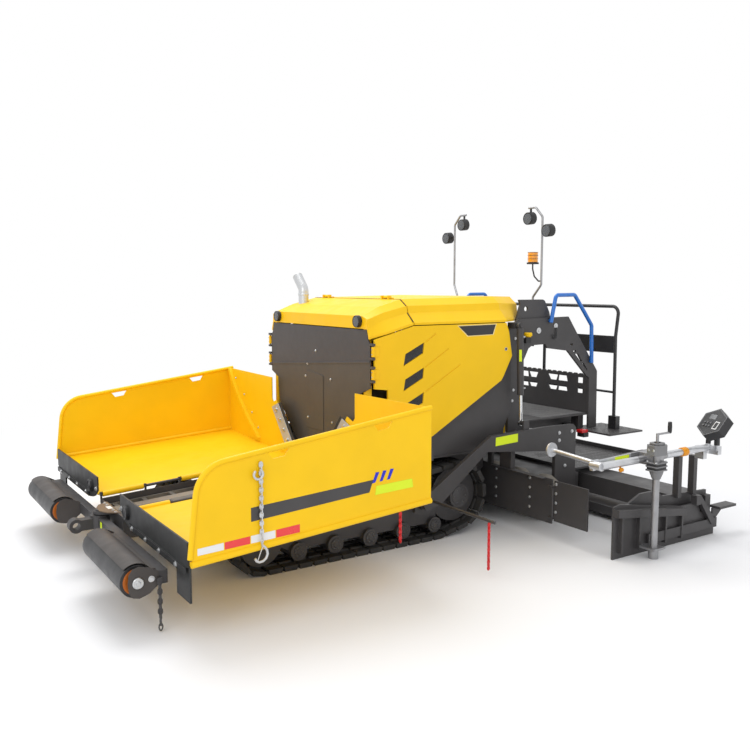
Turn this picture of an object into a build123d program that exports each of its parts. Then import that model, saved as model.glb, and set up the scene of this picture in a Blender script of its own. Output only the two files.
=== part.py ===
from build123d import *
import math
import os

os.makedirs("parts", exist_ok=True)

# Compact tracked asphalt paver, hopper wings open and both screed extensions run out.
# Frame: +X forward to the hopper, +Y to the machine's left, +Z up, ground at Z = 0, millimetres.

# Running clearances
pin_clear = 0.06
air_gap = 6.0

# Hopper wings
hinge_y = 275.0
hinge_z_front = 412.0
hopper_front_x = 2010.0
hopper_rear_x = 474.0
hopper_rise = 0.0630
floor_rise = 0.040
hopper_half = 1481.0
wall_t = 8.0
wall_top_front = 924.0
wall_top_rear = 1113.0
wall_corner_r = 185.0
rim_r = 15.0
sleeve_r = 20.0
hinge_pin_r = 10.0
lug_r = 16.0
rear_wall_inner = 620.0
wing_stagger = 28.0
apron_top = 535.0
apron_t = 10.0
apron_flap_w = 194.0
apron_flap_low = 205.0

# Push beam and rollers
roller_x = 2212.0
roller_z = 290.0
roller_r = 88.0
roller_in = 443.0
roller_out = 1211.0
roller_pin_r = 24.0
pivot_x = 2078.0
pivot_r = 28.0
eye_x = 2236.0
eye_bore_r = 24.0

# Tracks
track_in = 538.0
track_out = 788.0
idler_x = 1264.0
idler_z = 200.0
sprocket_x = -330.0
sprocket_z = 300.0
sprocket_loop_r = 255.0
tail_roller_x = -120.0
tail_roller_r = 60.0
shoe_h = 24.0
belt_t = 24.0
shoe_count = 40

# Chassis and conveyor
tunnel_half = 250.0
tunnel_wall = 12.0
chassis_rear_x = -780.0
fender_z = 600.0
fender_t = 10.0
fender_half = 748.0
slat_pitch = 200.0

# Hood
hood_front_x = 440.0
hood_half = 776.0
hood_step_x = 92.0
hood_rear_x = -1050.0
hood_side_rear_x = -834.0
skin = 5.0
door_t = 16.0
exhaust_x = 252.0
exhaust_y = -537.0
exhaust_r = 41.0
shield_t = 8.0
shield_half = 752.0

# Platform, arches and rails
deck_z = 770.0
deck_t = 12.0
arch_y = 700.0
arch_t = 20.0
arch_rear_x = -1875.0
rail_r = 16.0
hump_t = 16.0
lift_eye_x = -1060.0
lift_eye_z = 1668.0
lift_eye_r = 20.0
mast_x = -1337.0
mast_r = 9.0
mast_foot_y = 488.0
mast_top_z = 2480.0

# Tow arms, screed and extensions
tow_x = 60.0
tow_z = 320.0
tow_pin_r = 22.0
arm_in = 860.0
arm_t = 32.0
screed_front_x = -1120.0
screed_rear_x = -1500.0
screed_half = 860.0
screed_bottom = 42.0
screed_top = 350.0
ext_front_x = -1560.0
ext_rear_x = -1925.0
ext_in = 560.0
end_frame_x = -1020.0
gate_in = 1775.0
gate_t = 14.0
gate_front_x = -840.0
gate_rear_x = -1955.0
guide_r = 32.0
rear_rail_x = -1950.0
rear_end_x = -2300.0

# Auger
auger_x = -955.0
auger_z = 305.0
auger_r = 130.0
auger_shaft_r = 38.0
auger_in = 70.0
auger_out = 1238.0
auger_pin_r = 16.0

# Retaining plates
keeper_x = -800.0
keeper_t = 12.0
auger_end_gap = 24.0
keeper_out = auger_out + auger_end_gap
keeper_low = 130.0
keeper_leaf_w = 316.0
keeper_top = 460.0
hanger_rear_x = auger_x + auger_r + 8

# Screed lift cylinders
lift_y = 808.0
lift_top_x = -880.0
lift_top_z = 1545.0
lift_low_x = -905.0
lift_low_z = 800.0
lift_tube_r = 26.0
eye_half = 9.0
eye_play = 3.0
lift_rod_r = 14.0
lift_pin_r = 11.0

nodes = {}


def block(x0, x1, y0, y1, z0, z1):
    centre = Pos((x0 + x1) / 2, (y0 + y1) / 2, (z0 + z1) / 2)
    return centre * Box(abs(x1 - x0), abs(y1 - y0), abs(z1 - z0))


def prism(corners, push):
    outline = Wire.make_polygon([Vector(*c) for c in corners], close=True)
    return Part(Solid.extrude(Face(outline), Vector(*push)).wrapped)


def side_plate(outline, y0, y1):
    return prism([(x, y0, z) for x, z in outline], (0, y1 - y0, 0))


def cross_plate(outline, x0, x1):
    return prism([(x0, y, z) for y, z in outline], (x1 - x0, 0, 0))


def flat_plate(outline, z0, z1):
    return prism([(x, y, z0) for x, y in outline], (0, 0, z1 - z0))


def rod(start, end, radius):
    run = Vector(*end) - Vector(*start)
    place = Plane(origin=start, z_dir=run)
    return place * Cylinder(radius, run.length, align=(Align.CENTER, Align.CENTER, Align.MIN))


def tube(start, end, radius, bore):
    return rod(start, end, radius) - rod(start, end, bore)


def bent_tube(points, radius, bend):
    path = FilletPolyline(*points, radius=bend)
    section = Plane(origin=path @ 0, z_dir=path % 0) * Circle(radius)
    return sweep(section, path=path)


def fuse(pieces):
    total = pieces[0]
    for piece in pieces[1:]:
        total = total + piece
    return total


def group(pieces):
    solids = []
    for piece in pieces:
        solids.extend(piece.solids())
    return Compound(children=solids)


def other_side(shape):
    return mirror(shape, about=Plane.XZ)


def both(shape):
    return group([shape, other_side(shape)])


def soften(outline, index, radius, steps):
    """Replace one corner of an outline by a short arc of straight steps."""
    before = Vector(*outline[index - 1])
    corner = Vector(*outline[index])
    after = Vector(*outline[(index + 1) % len(outline)])
    back = (before - corner).normalized()
    ahead = (after - corner).normalized()
    half = math.radians(back.get_angle(ahead)) / 2
    reach = radius / math.tan(half)
    centre = corner + (back + ahead).normalized() * (radius / math.sin(half))
    first = corner + back * reach - centre
    last = corner + ahead * reach - centre
    sweep_angle = math.radians(first.get_angle(last))
    arc = []
    for step in range(steps + 1):
        share = step / steps
        a = math.sin((1 - share) * sweep_angle) / math.sin(sweep_angle)
        b = math.sin(share * sweep_angle) / math.sin(sweep_angle)
        point = centre + first * a + last * b
        arc.append((point.X, point.Y))
    return outline[:index] + arc + outline[index + 1:]


def chain(top, link, count, wire):
    """A hanging chain of flat eight-sided links, each turned a quarter from the last."""
    half_w = wire * 1.7
    pieces = []
    for number in range(count):
        z = top[2] - number * (link - wire * 1.6) - link / 2
        outline = []
        for side, level in [(-1, 0.5), (1, 0.5), (1, 0.22), (1, -0.22), (1, -0.5),
                            (-1, -0.5), (-1, -0.22), (-1, 0.22)]:
            width = half_w if abs(level) < 0.3 else half_w * 0.45
            outline.append((side * width, z + level * link))
        if number % 2 == 0:
            moved = [(top[0] + w, z1) for w, z1 in outline]
            pieces.append(side_plate(moved, top[1] - wire / 2, top[1] + wire / 2))
        else:
            moved = [(top[1] + w, z1) for w, z1 in outline]
            pieces.append(cross_plate(moved, top[0] - wire / 2, top[0] + wire / 2))
    return fuse(pieces)


def hinge_z(x):
    return hinge_z_front + (hopper_front_x - x) * hopper_rise


def floor_z(x, y):
    return hinge_z(x) + (abs(y) - hinge_y) * floor_rise


def hinge_point(x):
    return (x, hinge_y, hinge_z(x))


# Hopper wings: tilted floor, outer wall with a pipe rim, rear wall with its bent gusset
sleeve_stations = [("front", 1985.0, 1700.0), ("middle", 1420.0, 1020.0), ("rear", 740.0, 500.0)]


def wing(rear_x):
    inner = hinge_y + sleeve_r + 4
    floor = prism([(hopper_front_x, inner, floor_z(hopper_front_x, inner)),
                   (hopper_front_x, hopper_half, floor_z(hopper_front_x, hopper_half)),
                   (rear_x, hopper_half, floor_z(rear_x, hopper_half)),
                   (rear_x, inner, floor_z(rear_x, inner))], (0, 0, -10))
    low_front = floor_z(hopper_front_x, hopper_half) - 52
    low_rear = floor_z(hopper_rear_x, hopper_half) - 30
    top_slope = (wall_top_rear - wall_top_front) / (1961 - hopper_rear_x)
    outline = [(hopper_rear_x, low_rear), (hopper_front_x - 2, low_front),
               (1961, wall_top_rear - top_slope * (1961 - hopper_rear_x)),
               (hopper_rear_x, wall_top_rear)]
    wall = side_plate(soften(outline, 2, wall_corner_r, 6), hopper_half, hopper_half + wall_t)
    for x in (1505.0, 825.0):
        z = wall_top_rear - top_slope * (x - hopper_rear_x) - rim_r - 2
        hole = side_plate([(x - 62, z + 5), (x + 62, z - 9), (x + 34, z - 44), (x - 38, z - 34)],
                          hopper_half - 20, hopper_half + 30)
        wall = wall - hole
    middle = hopper_half + wall_t / 2
    rim = bent_tube([(hopper_rear_x, middle, wall_top_rear),
                     (1961, middle, wall_top_front), (hopper_front_x + 4, middle, 450)],
                    rim_r, wall_corner_r)
    foot_tube = rod((hopper_rear_x, middle, low_rear + 12),
                    (hopper_front_x, middle, low_front + 12), 19)
    floor_tube = rod((hopper_rear_x + 30, hopper_half - 8, floor_z(hopper_rear_x, hopper_half) + 8),
                     (hopper_front_x - 3, hopper_half - 8, floor_z(hopper_front_x, hopper_half) + 8), 15)
    y0 = hinge_y + 34
    back_outline = [(hopper_half, floor_z(rear_x, hopper_half) - 30), (hopper_half, wall_top_rear),
                    (rear_wall_inner, wall_top_rear - 8), (rear_wall_inner, 930),
                    (y0, 588), (y0, floor_z(rear_x, y0) - 10)]
    back = cross_plate(back_outline, rear_x, rear_x + wall_t)
    gusset = cross_plate([(1462, 1112), (1380, 980), (1250, 842), (1080, 700), (880, 570),
                          (842, 570), (1050, 716), (1215, 856), (1340, 992), (1424, 1112)],
                         rear_x + wall_t, rear_x + wall_t + 26)
    strip = cross_plate([(690, 872), (524, 930), (322, 668), (322, 586), (407, 586)],
                        rear_x + wall_t, rear_x + wall_t + 7)
    pieces = [floor, wall, rim, foot_tube, floor_tube, back, gusset, strip]
    for name, x0, x1 in sleeve_stations:
        leaf_corners = [(x0, hinge_y), (x0, inner + 2), (x1, inner + 2), (x1, hinge_y)]
        pieces.append(prism([(x, y, floor_z(x, y)) for x, y in leaf_corners], (0, 0, -10)))
        pieces.append(tube(hinge_point(x0), hinge_point(x1), sleeve_r, hinge_pin_r + pin_clear))
    body = fuse(pieces)
    bore = rod(hinge_point(hopper_front_x + 60), hinge_point(hopper_rear_x - 60),
               hinge_pin_r + pin_clear)
    return body - bore


def apron():
    outer = hopper_half - rim_r - 1
    outline = [(hinge_y - 6, apron_top), (outer, apron_top), (outer, 402),
               (1300, 372), (900, 352), (520, 352), (400, 372), (340, 392), (hinge_y - 6, 440)]
    plate = cross_plate(outline, hopper_front_x, hopper_front_x + apron_t)
    face_x = hopper_front_x + apron_t
    hub = rod((face_x - 2, 424, 450), (face_x + 16, 424, 450), 46)
    bar = block(face_x, face_x + 10, 480, 1440, 362, 396)
    flap = block(hopper_front_x - 12, hopper_front_x, hopper_half - 24 - apron_flap_w, hopper_half - 24,
                 apron_flap_low, 400)
    return fuse([plate, hub, bar, flap])


wing_left = wing(hopper_rear_x)
wing_right = other_side(wing(hopper_rear_x + wing_stagger))
nodes["wing_left"] = wing_left
nodes["wing_right"] = wing_right
nodes["apron_left"] = apron()
nodes["apron_right"] = other_side(apron())

lock_chain_x = 1619.0
lock_chain_y = hopper_half + wall_t + 14
hook_z = 880.0
lock_chain = fuse([
    rod((lock_chain_x, hopper_half + wall_t, hook_z + 22), (lock_chain_x, lock_chain_y + 8, hook_z + 22),
        7),
    chain((lock_chain_x, lock_chain_y, hook_z + 40), 34, 17, 7),
])
drop_chain_x = 700.0
drop_top = floor_z(drop_chain_x, hopper_half) - 33 - 7.8
drop_chain = chain((drop_chain_x, hopper_half + wall_t / 2, drop_top), 28, 10, 6)
nodes["wing_chains_left"] = group([lock_chain, drop_chain])
nodes["wing_chains_right"] = other_side(group([lock_chain, drop_chain]))

# Chassis: tunnel walls under the hopper, side tanks, fenders, nose and rear beam
wall_in = tunnel_half
wall_out = tunnel_half + tunnel_wall
web = side_plate([(hopper_front_x - 20, 235), (hopper_front_x - 20, hinge_z(1990) - sleeve_r - air_gap),
                  (hood_front_x, hinge_z(hood_front_x) - sleeve_r - air_gap), (hood_front_x, fender_z),
                  (chassis_rear_x, fender_z), (chassis_rear_x, 330), (500, 235)], wall_in, wall_out)
lug_stations = [(2002.0, 1991.0), (1692.0, 1680.0), (1440.0, 1428.0), (1012.0, 1000.0), (762.0, 750.0),
                (492.0, 480.0)]
lugs = []
for x0, x1 in lug_stations:
    lugs.append(side_plate([(x0, hinge_z(x0) - 60), (x0, hinge_z(x0) + lug_r), (x1, hinge_z(x1) + lug_r),
                            (x1, hinge_z(x1) - 60)], wall_out - 2, hinge_y))
    lugs.append(rod(hinge_point(x0), hinge_point(x1), lug_r))
hinge_pin = rod(hinge_point(2004), hinge_point(478), hinge_pin_r)
tank = side_plate([(hood_front_x, 240), (hood_front_x, fender_z), (chassis_rear_x, fender_z),
                   (chassis_rear_x, 420), (-560, 240)], wall_out, track_in - 16)
fender = block(chassis_rear_x, hood_front_x, wall_out, fender_half, fender_z, fender_z + fender_t)
axle = rod((sprocket_x, track_in - 18, sprocket_z), (sprocket_x, track_in + 90, sprocket_z), 95)
front_axle_z = 250.0
front_axle = rod((1000, wall_out - 4, front_axle_z), (1000, track_in + 90, front_axle_z), 30)
half_chassis = fuse([web] + lugs + [hinge_pin, tank, fender, axle, front_axle])
rear_beam = block(chassis_rear_x - 60, chassis_rear_x, -arm_in + 10, arm_in - 10, 590, 700)
nose = block(hopper_front_x - 20, hopper_front_x - 6, -wall_out, wall_out, 235, 380)
cross_front = block(1400, 1460, -wall_in, wall_in, 235, 290)
cross_mid = block(640, 700, -wall_in, wall_in, 240, 300)
pivot_top = flat_plate([(hopper_front_x - 8, -90), (hopper_front_x - 8, 90), (pivot_x + 20, 45),
                        (pivot_x + 45, 0), (pivot_x + 20, -45)], 356, 376)
pivot_low = flat_plate([(hopper_front_x - 8, -90), (hopper_front_x - 8, 90), (pivot_x + 20, 45),
                        (pivot_x + 45, 0), (pivot_x + 20, -45)], 236, 256)
pivot_pin = rod((pivot_x, 0, 230), (pivot_x, 0, 384), pivot_r)
chassis = fuse([half_chassis, other_side(half_chassis), rear_beam, nose, cross_front, cross_mid,
                pivot_top, pivot_low, pivot_pin])
nodes["chassis_frame"] = chassis

trough_front = hopper_front_x - 30
trough_drop = 92.0


def trough_z(x):
    return hinge_z(x) - trough_drop


trough_end = trough_z(trough_front)
trough_run = (-(trough_front - chassis_rear_x - 20), 0,
              (trough_front - chassis_rear_x - 20) * hopper_rise)
trough = prism([(trough_front, -tunnel_half, trough_end), (trough_front, tunnel_half, trough_end),
                (chassis_rear_x + 20, tunnel_half, trough_z(chassis_rear_x + 20)),
                (chassis_rear_x + 20, -tunnel_half, trough_z(chassis_rear_x + 20))], (0, 0, -10))
ridge = prism([(trough_front, -70, trough_end), (trough_front, 70, trough_end),
               (trough_front, 42, trough_end + 52), (trough_front, -42, trough_end + 52)],
              trough_run)
slats = []
slat_x = trough_front - 60
while slat_x > chassis_rear_x + 90:
    for y0, y1 in [(-tunnel_half + 14, -74), (74, tunnel_half - 14)]:
        slats.append(block(slat_x - 16, slat_x + 16, y0, y1, trough_z(slat_x) - 2, trough_z(slat_x) + 22))
    slat_x = slat_x - slat_pitch
chain_rails = []
for y in (-tunnel_half + 22, tunnel_half - 22):
    chain_rails.append(prism([(trough_front, y - 8, trough_end - 1),
                              (trough_front, y + 8, trough_end - 1),
                              (trough_front, y + 8, trough_end + 26),
                              (trough_front, y - 8, trough_end + 26)],
                             trough_run))
nodes["conveyor"] = fuse([trough, ridge] + chain_rails + slats)

# Engine and its mounts as one plain mass
nodes["engine_block"] = fuse([block(-620, 180, -330, 330, 720, 1380),
                              block(-560, -480, -330, 330, fender_z + fender_t, 722),
                              block(60, 140, -330, 330, fender_z + fender_t, 722)])


# Tracks: one loop each, shoes in the outline, round idler, sprocket and tail roller
class Loop:
    def __init__(self, circles):
        self.parts = []
        normals = []
        count = len(circles)
        for i in range(count):
            x0, z0, r0 = circles[i]
            x1, z1, r1 = circles[(i + 1) % count]
            reach = math.hypot(x1 - x0, z1 - z0)
            heading = math.atan2(z1 - z0, x1 - x0)
            normals.append(heading - math.acos((r0 - r1) / reach))
        self.length = 0.0
        for i in range(count):
            x0, z0, r0 = circles[i]
            x1, z1, r1 = circles[(i + 1) % count]
            n = normals[i]
            p0 = (x0 + r0 * math.cos(n), z0 + r0 * math.sin(n))
            p1 = (x1 + r1 * math.cos(n), z1 + r1 * math.sin(n))
            run = math.hypot(p1[0] - p0[0], p1[1] - p0[1])
            self.parts.append(("line", self.length, run, p0, p1, n))
            self.length += run
            turn = (normals[(i + 1) % count] - n) % (2 * math.pi)
            self.parts.append(("arc", self.length, turn * r1, (x1, z1), r1, n))
            self.length += turn * r1

    def at(self, s, inset):
        s = s % self.length
        for kind, start, run, a, b, n in self.parts:
            if s <= start + run:
                share = s - start
                if kind == "line":
                    t = share / run
                    x = a[0] + (b[0] - a[0]) * t
                    z = a[1] + (b[1] - a[1]) * t
                    return (x - inset * math.cos(n), z - inset * math.sin(n))
                angle = n + share / b
                return (a[0] + (b - inset) * math.cos(angle), a[1] + (b - inset) * math.sin(angle))
        return self.at(0.0, inset)


track_depth = shoe_h + belt_t
loop = Loop([(tail_roller_x, tail_roller_r + track_depth, tail_roller_r + track_depth),
             (idler_x, idler_z, idler_z), (sprocket_x, sprocket_z, sprocket_loop_r)])
pitch = loop.length / shoe_count
outer_line = []
inner_line = []
for k in range(shoe_count):
    for share, inset in [(0.04, shoe_h), (0.10, 0.0), (0.86, 0.0), (0.92, shoe_h)]:
        outer_line.append(loop.at((k + share) * pitch, inset))
    inner_line.append(loop.at((k + 0.25) * pitch, track_depth))
    inner_line.append(loop.at((k + 0.75) * pitch, track_depth))
track = side_plate(outer_line, track_in, track_out) - side_plate(inner_line, track_in - 1, track_out + 1)
nodes["track_left"] = track
nodes["track_right"] = other_side(track)


def chord_fit(radius):
    return math.sqrt(radius ** 2 - (pitch / 4) ** 2) - 1.2


frame_in = track_in + 72
frame_out = track_out - 62
beam = side_plate([(-150, 150), (-60, 118), (1060, 118), (1150, 165), (1150, 235), (1040, 262),
                   (-150, 330)],
                  frame_in, frame_out)
wheels = []
tail_wheel_r = tail_roller_r - 3.0
wheels.append(rod((tail_roller_x, track_in + 40, tail_roller_r + track_depth),
                  (tail_roller_x, track_out - 30, tail_roller_r + track_depth), tail_wheel_r))
for x in (160.0, 440.0, 720.0, 1000.0):
    wheels.append(rod((x, track_in + 40, tail_roller_r + track_depth + 0.1),
                      (x, track_out - 30, tail_roller_r + track_depth + 0.1), tail_roller_r))
idler_wheel = rod((idler_x, track_in + 50, idler_z), (idler_x, track_out - 50, idler_z),
                  chord_fit(idler_z - track_depth))
idler_hub = rod((idler_x, track_in + 40, idler_z), (idler_x, track_out - 24, idler_z), 52)
sprocket = rod((sprocket_x, track_in + 86, sprocket_z), (sprocket_x, track_out - 86, sprocket_z),
               chord_fit(sprocket_loop_r - track_depth))
sprocket_hub = rod((sprocket_x, track_in + 92, sprocket_z), (sprocket_x, track_out - 8, sprocket_z), 88)
idler_link = side_plate([(1140, 170), (idler_x, idler_z - 30), (idler_x, idler_z + 30), (1140, 230)],
                        frame_in + 20, frame_out - 20)
frame_left = fuse([beam, idler_wheel, idler_hub, idler_link, sprocket, sprocket_hub] + wheels)
axle_cut = rod((sprocket_x, track_in - 40, sprocket_z), (sprocket_x, track_in + 90, sprocket_z), 95)
front_cut = rod((1000, wall_out - 4, front_axle_z), (1000, track_in + 90, front_axle_z), 30)
frame_left = frame_left - axle_cut - front_cut
nodes["track_frames"] = both(frame_left)


# Hood: side skirt, sloped shoulder, short steep step and crowned roof, divided at the lid seam
def hood_section(row, drop, inset):
    x, half, z_side, half_step, z_step, half_roof, z_roof, half_top, z_top = row
    right = [(half - inset, z_side - skirt - drop), (half - inset, z_side),
             (half_step - inset, z_step - inset * 0.6), (half_roof - inset, z_roof - inset * 0.6),
             (half_top - inset * 0.6, z_top - inset)]
    left = [(-y, z) for y, z in reversed(right)]
    return Wire.make_polygon([Vector(x, y, z) for y, z in right + left], close=True)


skirt = 16.0
hood_rows = [
    # x, side half, side top, shoulder half, shoulder top, roof edge half, roof edge, flat half, top
    (hood_front_x, 742.0, 1500.0, 722.0, 1556.0, 716.0, 1618.0, 655.0, 1640.0),
    (300.0, 768.0, 1535.0, 708.0, 1612.0, 695.0, 1660.0, 632.0, 1700.0),
    (hood_step_x, hood_half, 1590.0, 701.0, 1658.0, 685.0, 1706.0, 612.0, 1752.0),
    (-769.0, hood_half, 1592.0, 701.0, 1669.0, 685.0, 1717.0, 612.0, 1768.0),
    (hood_rear_x, 600.0, 1592.0, 588.0, 1664.0, 580.0, 1706.0, 500.0, 1762.0),
]
cap_low = 1560.0


def hood_part(rows, inset, drop, x_shift=(0.0, 0.0)):
    shifts = [x_shift[0]] + [0.0] * (len(rows) - 2) + [x_shift[1]]
    wires = [hood_section((row[0] + move,) + row[1:], drop, inset) for row, move in zip(rows, shifts)]
    return Part(Solid.make_loft(wires, ruled=True).wrapped)


front_rows = hood_rows[:3]
cap_front = hood_part(front_rows, 0.0, 0.0) - hood_part(front_rows, skin, 10.0, (-skin, -10.0))
fascia_low = 1553.0
fascia_cut = cross_plate([(-712, fascia_low), (712, fascia_low), (734, 1478), (734, 1400), (-734, 1400),
                          (-734, 1478)], hood_front_x - skin - 5, hood_front_x + 1)
cap_front = cap_front - fascia_cut
lid_rows = [(hood_step_x - air_gap,) + hood_rows[2][1:]] + hood_rows[3:]
lid = hood_part(lid_rows, 0.0, 0.0) - hood_part(lid_rows, skin, 10.0, (-skin, skin))
lid_pin_x = hood_step_x - 3.0
lid_pin_z = hood_rows[2][-1] + 13.0
lid_pin_r = 6.0
lid_lugs = []
for y in (-430.0, 430.0):
    leaf = block(lid_pin_x - 46, lid_pin_x, y - 30, y + 30, lid_pin_z - 13, lid_pin_z - 4)
    lid = lid + leaf + rod((lid_pin_x, y - 30, lid_pin_z), (lid_pin_x, y + 30, lid_pin_z), 10.5)
    lid = lid - rod((lid_pin_x, y - 40, lid_pin_z), (lid_pin_x, y + 40, lid_pin_z), lid_pin_r + pin_clear)
    for y0, y1 in [(y - 50, y - 36), (y + 36, y + 50)]:
        lug_outline = [(-9, -9), (-9, 11), (18, 11), (18, -20), (4, -16), (4, -9)]
        lid_lugs.append(side_plate([(lid_pin_x + x, lid_pin_z + z) for x, z in lug_outline], y0, y1))
    lid_lugs.append(rod((lid_pin_x, y - 50, lid_pin_z), (lid_pin_x, y + 50, lid_pin_z), lid_pin_r))
nodes["hood_lid"] = lid

shelf_y = hood_half - door_t - 2
front_post = block(hood_front_x - 46, hood_front_x - shield_t, 656, 700, fender_z + fender_t, 1600)
post_cap = block(hood_front_x - shield_t - 2, hood_front_x - skin + 1, 656, 700, fascia_low + 3, 1600)
rear_post = block(hood_side_rear_x - 30, hood_side_rear_x + 6, 640, arch_y - arch_t - 2, 700, 1560)
top_rail = block(hood_side_rear_x - 30, hood_front_x - 46, 664, 678, 1540, 1560)
frame_half = fuse([front_post, post_cap, rear_post, top_rail])
rear_cross = block(hood_side_rear_x - 30, hood_side_rear_x, -670, 670, 1500, 1560)
lid_rest = block(hood_step_x - 40, hood_step_x + 20, -700, 700, cap_low - 20, cap_low)
rest_wall = cross_plate([(-700, cap_low - 2), (-700, 1600), (-560, 1738), (560, 1738), (700, 1600),
                         (700, cap_low - 2)],
                        hood_step_x + 8, hood_step_x + 14)
exhaust_hole = rod((exhaust_x, exhaust_y, 1500), (exhaust_x, exhaust_y, 1800), exhaust_r + pin_clear)
cap_front = cap_front - exhaust_hole
nodes["hood_cap"] = fuse([cap_front, frame_half, other_side(frame_half), rear_cross, lid_rest,
                          rest_wall] + lid_lugs)

# Heat shield at the front of the hood, narrowing to the conveyor tunnel
shield = cross_plate([(-706, 1547), (706, 1547), (728, 1474), (shield_half, 1446), (shield_half, 1150),
                      (640, 1106),
                      (612, 904), (309, 622), (262, 622),
                      (262, fender_z + fender_t), (-262, fender_z + fender_t), (-262, 622), (-309, 622),
                      (-612, 904),
                      (-640, 1106), (-shield_half, 1150), (-shield_half, 1446), (-728, 1474)],
                      hood_front_x - 8,
                      hood_front_x)
bend = cross_plate([(-750, 1202), (750, 1322), (750, 1336), (-750, 1216)], hood_front_x, hood_front_x + 5)
panel = cross_plate([(-150, 760), (110, 760), (110, 1180), (-80, 1200), (-150, 1200)], hood_front_x,
                    hood_front_x + 4)
heat_shield = fuse([shield, bend, panel])

# Side doors: folded sheet with three raked vents, hinged on their front edge
door_drop = skirt + air_gap
door_outline = [(hood_front_x - 22, 1504 - door_drop), (300, 1535 - door_drop),
                (hood_step_x, 1590 - door_drop), (-772, 1592 - door_drop), (-800, 1500),
                (hood_side_rear_x, 1318), (-752, 1168), (-728, 1135), (-90, 778), (60, 700), (308, 700),
                (308, 1131), (hood_front_x - 22, 1146)]
door_hinge_x = hood_front_x - 4
door_hinge_y = hood_half + 8
hinge_levels = (1212.0, 1368.0)
knuckle_len = 68.0
# groove run behind each vent: rearward reach, rise
groove_rows = [
    (102.0, 61.0),
    (219.0, 128.0),
    (329.0, 184.0),
]


def side_door():
    skin_plate = side_plate(door_outline, hood_half - door_t, hood_half)
    for number, (reach, rise) in enumerate(groove_rows):
        z = 1392 - number * 177
        vent = [(178, z - 102), (8, z - 17), (0, z + 59), (163, z - 18)]
        skin_plate = skin_plate - side_plate(vent, hood_half - 9, hood_half + 2)
        line = [(-12, z + 56), (-reach, z + 52 + rise), (-reach, z + 60 + rise), (-12, z + 68)]
        skin_plate = skin_plate - side_plate(line, hood_half - 4, hood_half + 2)
    knuckles = []
    for z in hinge_levels:
        top = z + knuckle_len
        knuckles.append(tube((door_hinge_x, door_hinge_y, z), (door_hinge_x, door_hinge_y, top), 12,
                             6 + pin_clear))
        knuckles.append(block(hood_front_x - 60, door_hinge_x - 8, hood_half - 2, hood_half + 4, z, top))
    return fuse([skin_plate] + knuckles)


nodes["side_door_left"] = side_door()
nodes["side_door_right"] = other_side(side_door())
door_pins = []
for z in hinge_levels:
    top = z + knuckle_len
    door_pins.append(rod((door_hinge_x, door_hinge_y, z - 22), (door_hinge_x, door_hinge_y, top + 22), 6))
    for low in (z - 22, top + 6):
        door_pins.append(block(hood_front_x - 16, door_hinge_x + 12, shield_half, door_hinge_y + 10, low,
                               low + 16))
nodes["heat_shield"] = fuse([heat_shield] + door_pins + [other_side(piece) for piece in door_pins])

# Charcoal side panels below the doors
panel_outline = [(hood_front_x - 50, fender_z + fender_t), (hood_front_x - 50, 690), (60, 690),
                 (-90, 764),
                 (-779, 1176), (-830, 1290), (-868, 1290), (-868, 900), (-800, 760), (-790, 700),
                 (chassis_rear_x, 700), (chassis_rear_x, fender_z + fender_t)]
nodes["side_panels"] = both(side_plate(panel_outline, 722, 734))

# Exhaust stack, lamps
exhaust_path = [(exhaust_x, exhaust_y, 1640), (exhaust_x, exhaust_y, 1822),
                (exhaust_x + 8, exhaust_y - 85, 1925)]
nodes["exhaust_pipe"] = bent_tube(exhaust_path, exhaust_r, 60)
lamp_pieces = []
for y in (-610.0, 610.0):
    lamp_pieces.append(rod((hood_front_x, y, 1603), (hood_front_x + 22, y, 1603), 42))
for side in (-1.0, 1.0):
    lamp_pieces.append(rod((mast_x - 20, side * 425, 2398), (mast_x + 34, side * 425, 2392), 50))
    lamp_pieces.append(rod((mast_x, side * 425, mast_top_z - mast_r - 0.2), (mast_x, side * 425, 2430), 9))
    lamp_pieces.append(rod((mast_x - 16, side * 640, 2290), (mast_x + 38, side * 640, 2284), 50))
    lamp_pieces.append(rod((mast_x, side * (559 + mast_r + 0.2), 2290), (mast_x, side * 610, 2290), 9))
hood_lamps = lamp_pieces[:2]
mast_lamps = [fuse(lamp_pieces[2:4]), fuse(lamp_pieces[4:6]), fuse(lamp_pieces[6:8]),
              fuse(lamp_pieces[8:10])]

# Platform: deck, beams, rear bulkhead and control console
deck = fuse([
    block(arch_rear_x + 15, hood_side_rear_x - 36, -arch_y + 20, arch_y - 20, deck_z, deck_z + deck_t),
    block(arch_rear_x + 40, chassis_rear_x - 60, 400, 460, 662, deck_z + 1),
    block(arch_rear_x + 40, chassis_rear_x - 60, -460, -400, 662, deck_z + 1),
])
step_low = 642.0
step = fuse([block(-2100, -1700, 560, 1000, step_low, step_low + 14),
             block(-1780, -1720, 560, 640, step_low + 2, deck_z + 2),
             block(-1860, -1720, 400, 566, step_low + 2, 676)])
console = fuse([side_plate([(-1060, deck_z + deck_t), (-1060, 1500), (-1090, 1540), (-1270, 1470),
                            (-1280, 1420),
                            (-1130, 1380), (-1130, deck_z + deck_t)], -340, 340)])
nodes["platform_deck"] = fuse([deck, step, other_side(step), console])

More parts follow.
